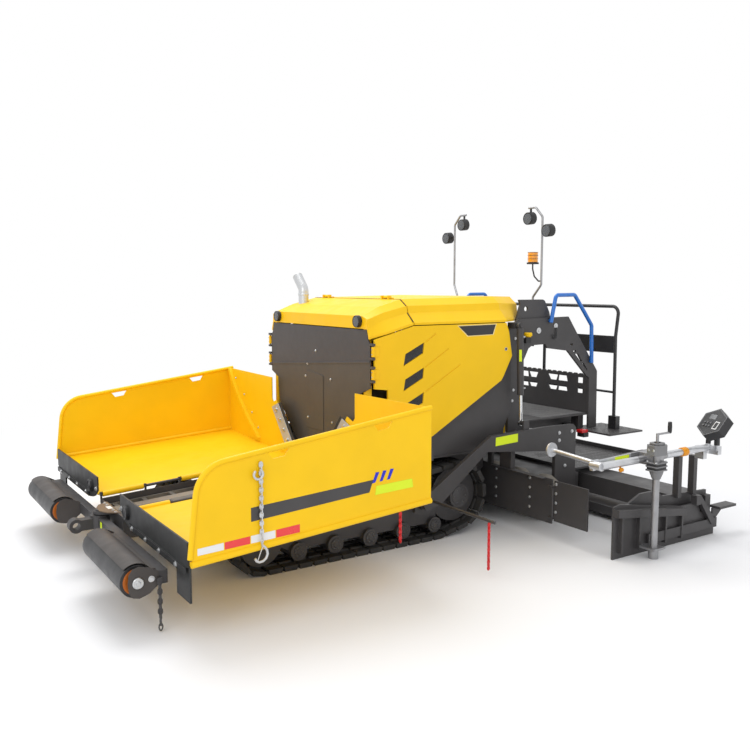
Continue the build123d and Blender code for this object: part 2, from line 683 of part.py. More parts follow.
# Arch frames either side of the platform, with the rear guard between them
arch_outline = [(-870, 620), (-870, 1568), (-936, 1568), (-962, 1590), (-1513, 1600), (-1618, 1460),
                (-1808, 1216),
                (-1867, 1138), (arch_rear_x, 660), (-1779, 660), (-1772, 1085), (-1729, 1116),
                (-1512, 1322), (-1283, 1352), (-1256, 1385), (-1116, 1382), (-1076, 1358), (-996, 1212),
                (-994, 760), (-930, 700), (-930, 620)]
arch = side_plate(arch_outline, arch_y - arch_t, arch_y)
arch_slots = [
    # corners as (x, z)
    [(-1601, 1291), (-1633, 1295), (-1681, 1230), (-1667, 1225)],
    [(-1682, 1211), (-1699, 1216), (-1752, 1154), (-1742, 1149)],
    [(-1536, 1362), (-1570, 1364), (-1572, 1380), (-1538, 1378)],
    [(-1578, 1306), (-1608, 1309), (-1610, 1324), (-1580, 1320)],
]
for corners in arch_slots:
    arch = arch - side_plate(corners, arch_y - arch_t - 5, arch_y + 5)
hump_in = arch_y - arch_t - hump_t
hump = side_plate([(-960, 1500), (-960, 1590), (-1000, 1704), (-984, 1738), (-1240, 1740), (-1262, 1730),
                   (-1313, 1641), (-1335, 1560), (-1335, 1500)], hump_in, arch_y - arch_t + 1)
hump_lip = block(-1242, -1000, hump_in - 12, hump_in + 1, 1732, 1740)
eye_cut = rod((lift_eye_x, hump_in - 5, lift_eye_z), (lift_eye_x, arch_y + 5, lift_eye_z), lift_eye_r)
arch = fuse([arch, hump - eye_cut, hump_lip])
guard_y = arch_y - arch_t
teeth = []
tooth_count = 22
tooth_w = 2 * guard_y / tooth_count
for k in range(tooth_count):
    left = -guard_y + k * tooth_w
    teeth.append((left, 1100))
    teeth.append((left + tooth_w * 0.3, 1112))
    teeth.append((left + tooth_w * 0.7, 1112))
teeth.append((guard_y, 1100))
guard = cross_plate([(-guard_y, deck_z + deck_t)] + teeth + [(guard_y, deck_z + deck_t)], -1806, -1794)
guard_holes = [
    # left and right at the top, then left and right at the bottom
    (-149.0, -44.0, -153.0, -36.0),
    (-36.0, 82.0, -10.0, 61.0),
    (202.0, 325.0, 234.0, 308.0),
    (333.0, 427.0, 326.0, 440.0),
    (552.0, 612.0, 552.0, 612.0),
    (-498.0, -392.0, -502.0, -384.0),
    (-385.0, -267.0, -359.0, -288.0),
    (-612.0, -552.0, -612.0, -552.0),
]
for top_0, top_1, low_0, low_1 in guard_holes:
    for z_top, z_low in ((1076, 1028), (990, 943)):
        hole = cross_plate([(low_0, z_low), (low_1, z_low), (top_1, z_top), (top_0, z_top)], -1820, -1780)
        guard = guard - hole
ear = fuse([block(lift_top_x - 24, lift_top_x + 24, arch_y, lift_y - lift_tube_r - 4, lift_top_z - 22,
                  lift_top_z + 22),
            rod((lift_top_x, arch_y + 20, lift_top_z), (lift_top_x, lift_y + eye_half + 8, lift_top_z),
                lift_pin_r)])
left_arch = fuse([arch, ear])
nodes["arch_frames"] = fuse([left_arch, other_side(left_arch), guard])

# Rails and masts
rail_y = arch_y + 18


def hand_rail(points, feet):
    pieces = [bent_tube([(x, rail_y, z) for x, z in points], rail_r, 36)]
    for x, z in feet:
        pieces.append(rod((x, arch_y, z), (x, arch_y + 22, z), 12))
    return fuse(pieces)


near_rail = hand_rail([(-1296, 1556), (-1346, 1774), (-1556, 1776), (-1764, 1524), (-1777, 1212)],
                      [(-1300, 1574), (-1776, 1226)])
far_rail = hand_rail([(-1440, 1552), (-1655, 1768), (-1864, 1770), (-1850, 1420), (-1832, 1090)],
                     [(-1452, 1564), (-1833, 1104)])
nodes["handrails"] = group([near_rail, other_side(far_rail)])
rail_y1 = 830.0
post_r = rail_r - 2
outer_post = bent_tube([(rear_rail_x, 0, 1678), (rear_rail_x, rail_y1 + 12, 1678),
                        (rear_rail_x, rail_y1 - 16, 1430), (rear_rail_x, rail_y1 - 9, step_low + 60)],
                       post_r, 60)
middle_post = rod((rear_rail_x, 0, 742), (rear_rail_x, 0, 1678), post_r)
cross_bar = rod((rear_rail_x, 0, 962), (rear_rail_x, rail_y1 - 12, 962), 10)
sign = block(rear_rail_x - 4, rear_rail_x + 4, 140, rail_y1 - 10, 1290, 1432)
sign_bar = rod((rear_rail_x, 0, 1361), (rear_rail_x, 150, 1361), 8)
base = block(rear_rail_x - 25, rear_rail_x + 25, rail_y1 - 46, rail_y1 + 34, step_low + 14,
             step_low + 122)
foot = block(rear_rail_x - 30, arch_rear_x + 15, -45, 45, 742, deck_z + deck_t)
half_rail = fuse([outer_post, cross_bar, sign, sign_bar, base])
nodes["rear_rails"] = fuse([half_rail, other_side(half_rail), middle_post, foot])

mast = bent_tube([(mast_x + 21, mast_foot_y, 1580), (mast_x + 20, mast_foot_y, 1757),
                  (mast_x, 559, 1856), (mast_x, 559, 2400), (mast_x, 480, mast_top_z),
                  (mast_x, 400, mast_top_z)],
                 mast_r, 30)
mast_foot = side_plate([(mast_x + 2, 1564), (mast_x + 76, 1564), (mast_x + 34, 1728),
                        (mast_x + 14, 1728)],
                       mast_foot_y - 6, mast_foot_y + 6)
foot_shelf = block(mast_x + 2, mast_x + 76, mast_foot_y - 10, hump_in, 1560, 1570)
nodes["light_masts"] = both(fuse([mast, mast_foot, foot_shelf]))
beacon_y = 458.0
beacon_z = 2024.0
beacon_arm = bent_tube([(mast_x, 559 - mast_r - 0.2, 1886), (mast_x, 526, 1886), (mast_x, 478, 1925),
                        (mast_x, beacon_y, 1985), (mast_x, beacon_y, beacon_z + 4)], 6, 12)
beacon_body = fuse([rod((mast_x, beacon_y, beacon_z), (mast_x, beacon_y, beacon_z + 13), 49),
                    rod((mast_x, beacon_y, beacon_z + 13), (mast_x, beacon_y, beacon_z + 96), 39),
                    beacon_arm])
nodes["beacon"] = beacon_body
nodes["work_lamps"] = group(hood_lamps + mast_lamps)

# Tow brackets over the tracks, with the pins, the guide rods and their chains
bracket_in = 800.0
bracket = fuse([block(-40, 110, 736, bracket_in + 40, fender_z + fender_t, 690),
                side_plate([(-20, 640), (120, 640), (120, 250), (70, 230), (0, 230), (-20, 250)],
                           bracket_in + 8, bracket_in + 40),
                rod((tow_x, bracket_in + 30, tow_z), (tow_x, arm_in + arm_t + 14, tow_z), tow_pin_r),
                rod((tow_x, arm_in + arm_t + air_gap, tow_z), (tow_x, arm_in + arm_t + 30, tow_z), 40),
                rod((tow_x - 10, arm_in + arm_t + 20, 352), (tow_x - 10, 1600, 356), 10)])
nodes["tow_brackets"] = both(bracket)
nodes["guide_chains"] = both(chain((tow_x - 10, 1545, 345.6), 30, 15, 6))

# Tow arms, their rear plates and the main screed
arm = side_plate([(tow_x + 52, tow_z), (tow_x + 36, tow_z + 38), (tow_x, tow_z + 54), (-537, 744),
                  (-1078, 760), (-1395, 756),
                  (-1425, 726), (-1425, 110), (-1200, 110), (-1200, 560), (-500, 628), (-76, 300),
                  (tow_x, tow_z - 52),
                  (tow_x + 36, tow_z - 38)], arm_in, arm_in + arm_t)
arm = arm - rod((tow_x, arm_in - 5, tow_z), (tow_x, arm_in + arm_t + 5, tow_z), tow_pin_r + pin_clear)
guide_rows = [
    # side, x, z of the extension guide tube
    ("left", -1262.0, 250.0),
    ("right", -1356.0, 250.0),
]
guide_cut_left = rod((guide_rows[0][1], 0, guide_rows[0][2]), (guide_rows[0][1], 2000, guide_rows[0][2]),
                     guide_r + 5)
guide_cut_right = rod((guide_rows[1][1], 0, guide_rows[1][2]),
                      (guide_rows[1][1], -2000, guide_rows[1][2]),
                      guide_r + 5)
lug = fuse([side_plate([(lift_low_x - 34, 700), (lift_low_x - 26, lift_low_z + 24),
                        (lift_low_x + 26, lift_low_z + 24),
                        (lift_low_x + 34, 700)], arm_in, arm_in + 12),
            rod((lift_low_x, lift_y - eye_half - 8, lift_low_z), (lift_low_x, arm_in + 6, lift_low_z),
                lift_pin_r),
            rod((lift_low_x, lift_y + eye_half + 4, lift_low_z), (lift_low_x, arm_in + 6, lift_low_z),
                lift_pin_r + 7)])
arm_left = fuse([arm, lug]) - guide_cut_left
arm_right = other_side(fuse([arm, lug])) - guide_cut_right
nodes["tow_arms"] = group([arm_left, arm_right])

sole = fuse([block(screed_rear_x, screed_front_x, -screed_half, screed_half, screed_bottom,
                   screed_bottom + 14),
             side_plate([(screed_front_x, screed_bottom), (screed_front_x + 24, screed_bottom + 60),
                         (screed_front_x + 24, screed_top),
                         (screed_front_x + 12, screed_top), (screed_front_x + 12, screed_bottom + 62),
                         (screed_front_x - 12, screed_bottom)],
                        -screed_half, screed_half),
             block(screed_rear_x, screed_rear_x + 12, -screed_half, screed_half, screed_bottom,
                   screed_top),
             block(screed_rear_x, screed_front_x + 14, -screed_half, screed_half, screed_top - 10,
                   screed_top)])
ends = fuse([block(screed_rear_x, screed_front_x + 14, screed_half - 24, screed_half, screed_bottom,
                   screed_top),
             block(screed_rear_x, screed_front_x + 14, -screed_half, -screed_half + 24, screed_bottom,
                   screed_top)])
middle_rib = fuse([block(screed_rear_x, screed_front_x + 14, 380, 404, screed_bottom, screed_top),
                   block(screed_rear_x, screed_front_x + 14, -404, -380, screed_bottom, screed_top)])
screed_core = fuse([sole, ends, middle_rib])
for side, x, z in guide_rows:
    sign_y = 1 if side == "left" else -1
    screed_core = screed_core - rod((x, sign_y * (screed_half + 60), z),
                                    (x, sign_y * (screed_half - 60), z), guide_r + pin_clear)
    screed_core = screed_core - rod((x, sign_y * (screed_half - 60), z), (x, sign_y * -560, z),
                                    guide_r + 5)
walk = fuse([block(rear_end_x, screed_rear_x + 30, -840, 840, screed_top + 14, screed_top + 30),
             block(screed_rear_x, screed_rear_x + 30, -840, 840, screed_top, screed_top + 16),
             block(rear_end_x, rear_end_x + 14, -840, 840, screed_top - 30, screed_top + 70)])
nodes["screed_body"] = fuse([screed_core, walk])


# Extensions behind the main screed, each with its end frame, guide tube and end gate
def extension(row):
    side, x, z = row
    shell = fuse([block(ext_rear_x, ext_front_x, ext_in, gate_in - 60, screed_bottom, screed_bottom + 14),
                  block(ext_front_x - 12, ext_front_x, ext_in, gate_in - 60, screed_bottom,
                        screed_top - 20),
                  block(ext_rear_x, ext_rear_x + 12, ext_in, gate_in - 60, screed_bottom,
                        screed_top - 60),
                  block(ext_rear_x, ext_front_x, ext_in, ext_in + 14, screed_bottom, screed_top - 60),
                  block(ext_rear_x + 60, ext_front_x, ext_in, gate_in - 60, screed_top - 40,
                        screed_top - 26)])
    frame_outline = [(end_frame_x, 70), (end_frame_x, 320), (end_frame_x - 50, 352), (-1180, 400),
                     (-1340, 400),
                     (-1420, 350), (ext_rear_x, 330), (ext_rear_x, 70)]
    end_frame = side_plate(frame_outline, gate_in - 60, gate_in - 40)
    flange = fuse([block(end_frame_x - 50, end_frame_x, gate_in - 60, gate_in, 90, 300),
                   block(ext_rear_x, ext_rear_x + 60, gate_in - 60, gate_in, 90, 300)])
    guide = rod((x, 120, z), (x, gate_in - 50, z), guide_r)
    posts = fuse([block(-1590, -1550, gate_in - 58, gate_in - 10, 320, 630),
                  block(-1765, -1725, gate_in - 58, gate_in - 10, 320, 615)])
    return fuse([shell, end_frame, flange, guide, posts])


nodes["extension_left"] = extension(guide_rows[0])
nodes["extension_right"] = other_side(extension(guide_rows[1]))

gate_outline = [(gate_front_x, 0), (gate_front_x, 363), (-905, 375), (-1560, 268), (-1700, 268),
                (-1760, 250), (-1790, 190), (gate_rear_x, 150), (gate_rear_x, 0)]
gate_plate = side_plate(gate_outline, gate_in, gate_in + gate_t)
gate_rib = side_plate([(gate_front_x, 300), (gate_front_x, 352), (-1560, 262), (-1560, 210)],
                      gate_in + gate_t, gate_in + 62)
gate_ribs = []
for x, top in [(-900, 300), (-1080, 280), (-1360, 250), (-1540, 230)]:
    gate_ribs.append(block(x - 8, x + 8, gate_in + gate_t, gate_in + 46, 40, top))
brace = side_plate([(-1700, 330), (-1740, 330), (-1930, 110), (-1880, 90)], gate_in + gate_t,
                   gate_in + 50)
brace_top = block(-1745, -1690, gate_in, gate_in + 50, 260, 330)
foot_bar = block(gate_rear_x, -1180, gate_in + gate_t, gate_in + 40, 60, 130)
step_out = block(gate_rear_x - 190, gate_rear_x + 8, gate_in - 20, gate_in + 70, 196, 214)
step_web = side_plate([(gate_rear_x + 20, 80), (gate_rear_x - 120, 196), (gate_rear_x + 20, 196)],
                      gate_in + 2, gate_in + gate_t)
end_gate = fuse([gate_plate, gate_rib, brace, brace_top, foot_bar, step_out, step_web] + gate_ribs)
nodes["end_gate_left"] = end_gate
nodes["end_gate_right"] = other_side(end_gate)

# Gate rig: silver tube, sensor arm, height column with crank, and the control box
rig_y = 1832.0
rig = fuse([
    rod((-650, rig_y, 676), (-1790, rig_y, 682), 25),
    rod((-650, rig_y + 10, 676), (-650, gate_in - 20, 676), 30),
    rod((-655, gate_in - 10, 690), (-655, 1370, 712), 16),
    rod((-655, 1392, 712), (-655, 1380, 712), 50),
    side_plate([(-630, 640), (-630, 704), (-1150, 722), (-1150, 660)], gate_in - 20, gate_in + 10),
    block(-1200, -1080, gate_in - 20, 1900, 640, 720),
    rod((-1110, 1910, 20), (-1110, 1910, 800), 24),
    rod((-1110, 1910, 0), (-1110, 1910, 66), 34),
    block(-1170, -1050, gate_in + 66, 1960, 66, 80),
    rod((-1110, 1910, 800), (-1110, 1910, 862), 10),
    rod((-1110, 1910, 856), (-1240, 1910, 856), 7),
    rod((-1236, 1910, 850), (-1236, 1910, 930), 10),
    block(-1765, -1725, gate_in - 10, rig_y + 6, 600, 690),
    rod((-1780, rig_y, 640), (-1780, rig_y + 4, 740), 18),
    block(-1812, -1772, rig_y - 14, rig_y + 90, 640, 700),
])
box_plane = Plane(origin=(-1700, 1960, 850), x_dir=(0.2, 0.98, 0), z_dir=(0.75, -0.15, 0.64))
control_box = box_plane * extrude(RegularPolygon(120, 6, rotation=30), amount=70)
box_stem = rod((-1790, 1900, 670), (-1690, 1962, 870), 20)
rig = fuse([rig, control_box, box_stem])
nodes["gate_rig_left"] = rig
nodes["gate_rig_right"] = other_side(rig)

# Retaining plates ahead of the auger, hung from the rear beam, with their outer bearing arms
keeper = block(keeper_x - keeper_t / 2, keeper_x + keeper_t / 2, tunnel_half + 30, keeper_out, keeper_low,
               keeper_top)
hangers = []
for y in (300.0, 560.0, 800.0):
    hangers.append(block(hanger_rear_x, keeper_x + 6, y, y + 46, keeper_low + 60, 590))
box_column = block(hanger_rear_x, keeper_x + 24, 720, 846, keeper_top - 4, 590)
top_flange = block(keeper_x - 6, keeper_x + 46, 640, 1200, keeper_top - 6, keeper_top)
arm_end_x = auger_x - 26
bearing_arm = side_plate([(keeper_x, 240), (keeper_x, 400), (arm_end_x, 350), (arm_end_x, 262)],
                         auger_out + 8, keeper_out)
auger_pin = rod((auger_x, auger_out - 40, auger_z), (auger_x, keeper_out - 4, auger_z), auger_pin_r)
flap_y = keeper_out + 14
leaf_in = flap_y + 8
leaf_out = leaf_in + keeper_leaf_w
hinge_ears = []
for z in (keeper_low + 40, keeper_top - 60):
    hinge_ears.append(block(keeper_x + 2, keeper_x + 20, keeper_out - 30, flap_y + 6, z, z + 12))
flap_pin = rod((keeper_x + 12, flap_y, keeper_low + 30), (keeper_x + 12, flap_y, keeper_top - 20), 5)
keeper_half = fuse([keeper, box_column, top_flange, bearing_arm, auger_pin,
                    flap_pin] + hangers + hinge_ears)
chain_case = fuse([
    block(auger_x - 70, auger_x + 70, -50, 50, 230, 640),
    block(auger_x + 60, chassis_rear_x - 60, -50, 50, 595, 640),
    rod((auger_x, -auger_in - 40, auger_z), (auger_x, auger_in + 40, auger_z), auger_pin_r),
])
nodes["retaining_plates"] = group([keeper_half, other_side(keeper_half), chain_case])


def flap():
    leaf = block(keeper_x - keeper_t / 2, keeper_x + keeper_t / 2, leaf_in, leaf_out, keeper_low + 26,
                 keeper_top - 6)
    z0 = keeper_low + 56
    z1 = keeper_top - 64
    knuckle = tube((keeper_x + 12, flap_y, z0), (keeper_x + 12, flap_y, z1), 10, 5 + pin_clear)
    web_plate = block(keeper_x - 4, keeper_x + 6, flap_y + 4, flap_y + 30, z0, z1)
    stiff = block(keeper_x - 20, keeper_x - 4, flap_y + 40, leaf_out - 40, keeper_top - 30, keeper_top - 16)
    leaf = fuse([leaf, knuckle, web_plate, stiff])
    return leaf - rod((keeper_x + 12, flap_y, keeper_low), (keeper_x + 12, flap_y, keeper_top),
                      5 + pin_clear)


nodes["keeper_flap_left"] = flap()
nodes["keeper_flap_right"] = other_side(flap())


# Augers: shaft with a wound blade of ruled segments
def auger():
    shaft = rod((auger_x, auger_in, auger_z), (auger_x, auger_out, auger_z), auger_shaft_r)
    turns = 4.0
    steps = 48
    blade_in = auger_shaft_r - 3
    start_y = auger_in + 20
    run = auger_out - auger_in - 40
    sections = []
    for k in range(steps + 1):
        angle = 2 * math.pi * turns * k / steps
        y = start_y + run * k / steps
        c = math.cos(angle)
        s = math.sin(angle)
        corners = [(blade_in, -6), (auger_r, -4), (auger_r, 4), (blade_in, 6)]
        pts = [Vector(auger_x + r * c, y + dy, auger_z + r * s) for r, dy in corners]
        sections.append(Wire.make_polygon(pts, close=True))
    blade = Part(Solid.make_loft(sections, ruled=True).wrapped)
    body = fuse([shaft, blade])
    body = body - rod((auger_x, auger_in - 1, auger_z), (auger_x, auger_in + 44, auger_z),
                      auger_pin_r + pin_clear)
    body = body - rod((auger_x, auger_out - 44, auger_z), (auger_x, auger_out + 1, auger_z),
                      auger_pin_r + pin_clear)
    return body


nodes["auger_left"] = auger()
nodes["auger_right"] = other_side(auger())

# Screed lift cylinders
lift_dx = lift_low_x - lift_top_x
lift_dz = lift_low_z - lift_top_z
lift_run = math.hypot(lift_dx, lift_dz)
ux = lift_dx / lift_run
uz = lift_dz / lift_run


def along(distance):
    return (lift_top_x + ux * distance, lift_y, lift_top_z + uz * distance)


barrel_end = 530.0
barrel = fuse([rod(along(18), along(barrel_end), lift_tube_r),
               rod((lift_top_x, lift_y - eye_half, lift_top_z),
                   (lift_top_x, lift_y + eye_half, lift_top_z), 26)])
barrel = barrel - rod((lift_top_x, lift_y - 40, lift_top_z), (lift_top_x, lift_y + 40, lift_top_z),
                      lift_pin_r + pin_clear)
barrel = barrel - rod(along(60), along(barrel_end + 2), lift_rod_r + pin_clear)
nodes["lift_barrel_left"] = barrel
nodes["lift_barrel_right"] = other_side(barrel)
ram = fuse([rod(along(300), along(lift_run - 20), lift_rod_r),
            rod((lift_low_x, lift_y - eye_half, lift_low_z), (lift_low_x, lift_y + eye_half, lift_low_z),
                24)])
ram = ram - rod((lift_low_x, lift_y - 40, lift_low_z), (lift_low_x, lift_y + 40, lift_low_z),
                lift_pin_r + eye_play)
nodes["lift_rod_left"] = ram
nodes["lift_rod_right"] = other_side(ram)

# Push beam with its pivot hub, tow eye, roller brackets and end chains
beam_rear_x = pivot_x - 28
beam_front_x = pivot_x + 28
hub = tube((pivot_x, 0, 262), (pivot_x, 0, 350), 62, pivot_r + pin_clear)
beam_half = fuse([
    block(beam_rear_x, beam_front_x, 0, roller_out + 25, 266, 336),
    side_plate([(beam_rear_x, 262), (beam_rear_x, 336), (roller_x - 20, 322), (roller_x + 30, 300),
                (roller_x + 30, 276), (roller_x - 20, 258)],
               roller_in - 26, roller_in - air_gap),
    side_plate([(beam_rear_x, 262), (beam_rear_x, 336), (roller_x - 20, 322), (roller_x + 30, 300),
                (roller_x + 30, 276), (roller_x - 20, 258)],
               roller_out + air_gap, roller_out + 26),
    rod((roller_x, roller_in - 20, roller_z), (roller_x, roller_out + 20, roller_z), roller_pin_r),
])
tow_eye = fuse([block(pivot_x + 40, eye_x, -34, 34, 264, 334),
                rod((eye_x, -34, 298), (eye_x, 34, 298), 46)])
push = fuse([hub, beam_half, other_side(beam_half), tow_eye])
push = push - rod((eye_x, -60, 298), (eye_x, 60, 298), eye_bore_r)
push = push - rod((pivot_x, 0, 220), (pivot_x, 0, 390), pivot_r + pin_clear)
chain_y = roller_out + 41
end_chain = chain((pivot_x + 22, chain_y, 300), 40, 8, 8)
chain_lug = block(pivot_x + 10, pivot_x + 34, roller_out + 25, chain_y + 8, 286, 302)
end_chain = fuse([end_chain, chain_lug])
nodes["push_beam"] = fuse([push, end_chain, other_side(end_chain)])
push_roller = tube((roller_x, roller_in, roller_z), (roller_x, roller_out, roller_z), roller_r,
                   roller_pin_r + pin_clear)
nodes["push_roller_left"] = push_roller
nodes["push_roller_right"] = other_side(push_roller)

for name, shape in nodes.items():
    export_step(shape, "parts/" + name + ".step")
print(len(nodes), "nodes")
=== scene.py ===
# %% [markdown]
# # A tracked asphalt paver
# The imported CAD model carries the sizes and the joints.
# This script loads it as a frame, gives every surface its finish,
# and adds the small parts that show only up close.
# Everything is in metres, with +X to the hopper, +Y to the machine's left and +Z up.

# %% Load the frame
import math
import bmesh
import bpy
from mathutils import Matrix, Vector


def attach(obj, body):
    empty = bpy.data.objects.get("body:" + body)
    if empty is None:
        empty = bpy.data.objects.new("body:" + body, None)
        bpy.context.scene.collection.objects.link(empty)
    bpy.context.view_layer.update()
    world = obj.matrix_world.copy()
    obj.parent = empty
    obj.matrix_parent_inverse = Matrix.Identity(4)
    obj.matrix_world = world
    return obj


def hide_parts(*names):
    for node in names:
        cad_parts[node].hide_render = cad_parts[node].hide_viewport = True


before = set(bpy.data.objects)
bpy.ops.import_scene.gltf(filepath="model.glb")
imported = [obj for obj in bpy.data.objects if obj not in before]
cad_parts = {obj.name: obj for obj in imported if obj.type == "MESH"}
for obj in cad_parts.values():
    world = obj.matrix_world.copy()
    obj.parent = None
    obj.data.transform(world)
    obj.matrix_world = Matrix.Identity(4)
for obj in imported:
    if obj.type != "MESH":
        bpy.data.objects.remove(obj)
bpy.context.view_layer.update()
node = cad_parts
scene = bpy.context.scene
both_sides = ((1, "left"), (-1, "right"))
front, up = (1, 0, 0), (0, 0, 1)

# %% [markdown]
# The camera stands at the front left, a little over head height and tilted down slightly.
# The focal length is given in pixels of a 750-pixel frame, so it is turned into a lens for a 36 mm sensor.

# %% Camera
photo_pixels = 750
focal_pixels = 819.87
optic_x, optic_y = 374.03, 375.19
camera_place = (3.4579, 5.408, 1.8424)
turn, dip = 4.1325, 0.1078
lens_data = bpy.data.cameras.new("paver_camera")
lens_data.sensor_width = 36.0
lens_data.lens = focal_pixels / photo_pixels * lens_data.sensor_width
lens_data.shift_x = (photo_pixels / 2 - optic_x) / photo_pixels
lens_data.shift_y = (optic_y - photo_pixels / 2) / photo_pixels
camera = bpy.data.objects.new("paver_camera", lens_data)
scene.collection.objects.link(camera)
camera.location = camera_place
gaze = Vector((math.cos(dip) * math.cos(turn), math.cos(dip) * math.sin(turn), -math.sin(dip)))
camera.rotation_euler = gaze.to_track_quat("-Z", "Y").to_euler()
scene.camera = camera
print("lens", round(lens_data.lens, 2), "mm")

# %% [markdown]
# The world, the coats and the repeated parts are all node trees.
# One small class writes them: each call adds a node, sets it, feeds its inputs and hands back one output.
# An input takes a plain value or another node's output.

# %% A helper for node trees


class Graph:
    def __init__(self, tree):
        self.tree = tree

    def feed(self, made, inputs):
        for key, value in inputs.items():
            if isinstance(value, bpy.types.NodeSocket):
                self.tree.links.new(value, made.inputs[key])
            else:
                made.inputs[key].default_value = value

    def node(self, kind, inputs=None, **settings):
        made = self.tree.nodes.new(kind)
        for key, value in settings.items():
            setattr(made, key, value)
        self.feed(made, inputs or {})
        return made

    def add(self, kind, inputs=None, output=0, **settings):
        return self.node(kind, inputs, **settings).outputs[output]

    def math(self, operation, *values):
        return self.add("ShaderNodeMath", dict(enumerate(values)), operation=operation)


print("node helper ready")

# %% [markdown]
# A product picture of a machine has a white surround and a soft shadow under it.
# The world shows white to the camera and to mirrors but lights the paint at a plain level,
# and two large area lamps add the soft direction.
# The floor turns white with distance, so that no horizon line shows.

# %% World, lamps and floor
pure_white = (1, 1, 1, 1)
fill_colour, fill_strength = (0.985, 0.99, 1, 1), 0.97
floor_grey = (0.88, 0.88, 0.89, 1)
floor_half = 60.0
fade_from, fade_to = 2.6, 6.0
lamps = (
    # name, place, aim, size, watts
    ("top_lamp", (0.5, -2.0, 6.5), (0, 0, 0.6), 4.5, 215),
    ("front_lamp", (6.0, 4.5, 4.0), (0, 0, 0.8), 3.5, 60),
)


def straight_rays(graph):
    """One for rays that should meet the plain white surround, zero for light that falls on the object."""
    path = graph.node("ShaderNodeLightPath").outputs
    clear = graph.math("MAXIMUM", path["Is Camera Ray"], path["Is Transmission Ray"])
    return graph.math("MAXIMUM", clear, path["Is Glossy Ray"])


scene.view_settings.view_transform = "Standard"
scene.world = bpy.data.worlds.new("studio")
scene.world.use_nodes = True
sky = Graph(scene.world.node_tree)
sky.tree.nodes.clear()
seen = sky.add("ShaderNodeBackground", {"Color": pure_white, "Strength": 1.0})
fill = sky.add("ShaderNodeBackground", {"Color": fill_colour, "Strength": fill_strength})
sky_mix = sky.add("ShaderNodeMixShader", {"Fac": straight_rays(sky), 1: fill, 2: seen})
sky.node("ShaderNodeOutputWorld", {"Surface": sky_mix})

for name, place, aim, size, watts in lamps:
    data = bpy.data.lights.new(name, "AREA")
    data.shape = "DISK"
    data.size = size
    data.energy = watts
    lamp = bpy.data.objects.new(name, data)
    scene.collection.objects.link(lamp)
    lamp.location = place
    lamp.rotation_euler = (Vector(aim) - Vector(place)).to_track_quat("-Z", "Y").to_euler()

floor_mesh = bpy.data.meshes.new("floor")
corners = [(x * floor_half, y * floor_half, 0) for x, y in ((-1, -1), (1, -1), (1, 1), (-1, 1))]
floor_mesh.from_pydata(corners, [], [(0, 1, 2, 3)])
floor = bpy.data.objects.new("floor", floor_mesh)
scene.collection.objects.link(floor)
floor_paint = bpy.data.materials.new("studio_floor")
floor_paint.use_nodes = True
ground = Graph(floor_paint.node_tree)
ground.tree.nodes.clear()
spot = ground.add("ShaderNodeTexCoord", output="Object")
distance = ground.add("ShaderNodeVectorMath", {0: spot}, "Value", operation="LENGTH")
fade = ground.add("ShaderNodeMapRange", {"Value": distance, "From Min": fade_from, "From Max": fade_to},
                  interpolation_type="SMOOTHSTEP")
whiteness = ground.math("MULTIPLY", fade, straight_rays(ground))
matte = ground.add("ShaderNodeBsdfDiffuse", {"Color": floor_grey})
white = ground.add("ShaderNodeEmission", {"Color": pure_white})
blend = ground.add("ShaderNodeMixShader", {"Fac": whiteness, 1: matte, 2: white})
ground.node("ShaderNodeOutputMaterial", {"Surface": blend})
floor_mesh.materials.append(floor_paint)
print("floor", 2 * floor_half, "m wide")

# %% [markdown]
# Paint on a working machine is never one flat colour. A broad, weak noise shifts its shade,
# a fine one gives the orange-peel skin of sprayed paint, and the edges, found by comparing the true normal
# with the normal of a rounded edge, are a little lighter in patches: partly rubbed paint, partly a painted
# highlight.
# One helper builds this for every coat, so that the coats differ only in named numbers.

# %% A helper for coats of paint and for bare metal
paint_edge, edge_samples, edge_range = 0.003, 4, (0.97, 0.80)
skin_height, lacquer_rough, rough_swing = 0.002, 0.12, 0.15
# each noise: scale, detail
tone_noise, wear_highlight_noise = (3.0, 3.0), (38.0, 4.0)
tone_range, wear_highlight_range, wear_highlight_most = (0.35, 0.65), (0.48, 0.62), 0.85
cloud_detail, cloud_range = 3.0, (0.3, 0.7)


class Surface(Graph):
    """The node tree of one material, round its Principled shader."""

    def __init__(self, name):
        self.material = bpy.data.materials.new(name)
        self.material.use_nodes = True
        super().__init__(self.material.node_tree)
        self.shader = self.tree.nodes["Principled BSDF"]

    def noise(self, scale, detail):
        place = self.add("ShaderNodeTexCoord", output="Object")
        return self.add("ShaderNodeTexNoise", {"Vector": place, "Scale": scale, "Detail": detail})

    def ranged(self, value, low, high, new_low, new_high):
        return self.add("ShaderNodeMapRange", {"Value": value, "From Min": low, "From Max": high,
                                               "To Min": new_low, "To Max": new_high})

    def cloudy(self, scale, middle, swing):
        """A value that a noise moves a little up and down."""
        return self.ranged(self.noise(scale, cloud_detail), *cloud_range, middle - swing, middle + swing)

    def mixed(self, share, first, second, kind="RGBA"):
        pair = [(*value, 1) if isinstance(value, tuple) else value for value in (first, second)]
        values = {"A": pair[0], "B": pair[1], "Factor": share}
        return self.add("ShaderNodeMix", values, "Result", data_type=kind)

    def scaled(self, colour, share):
        return self.add("ShaderNodeVectorMath", {0: colour, "Scale": share}, operation="SCALE")

    def edges(self, radius):
        """A mask of the edges, and a normal that is rounded there."""
        rounded = self.add("ShaderNodeBevel", {"Radius": radius}, samples=edge_samples)
        flat = self.add("ShaderNodeNewGeometry", output="Normal")
        dot = self.add("ShaderNodeVectorMath", {0: rounded, 1: flat}, "Value", operation="DOT_PRODUCT")
        return self.ranged(dot, *edge_range, 0.0, 1.0), rounded

    def split(self):
        place = self.add("ShaderNodeTexCoord", output="Object")
        return self.node("ShaderNodeSeparateXYZ", {0: place}).outputs
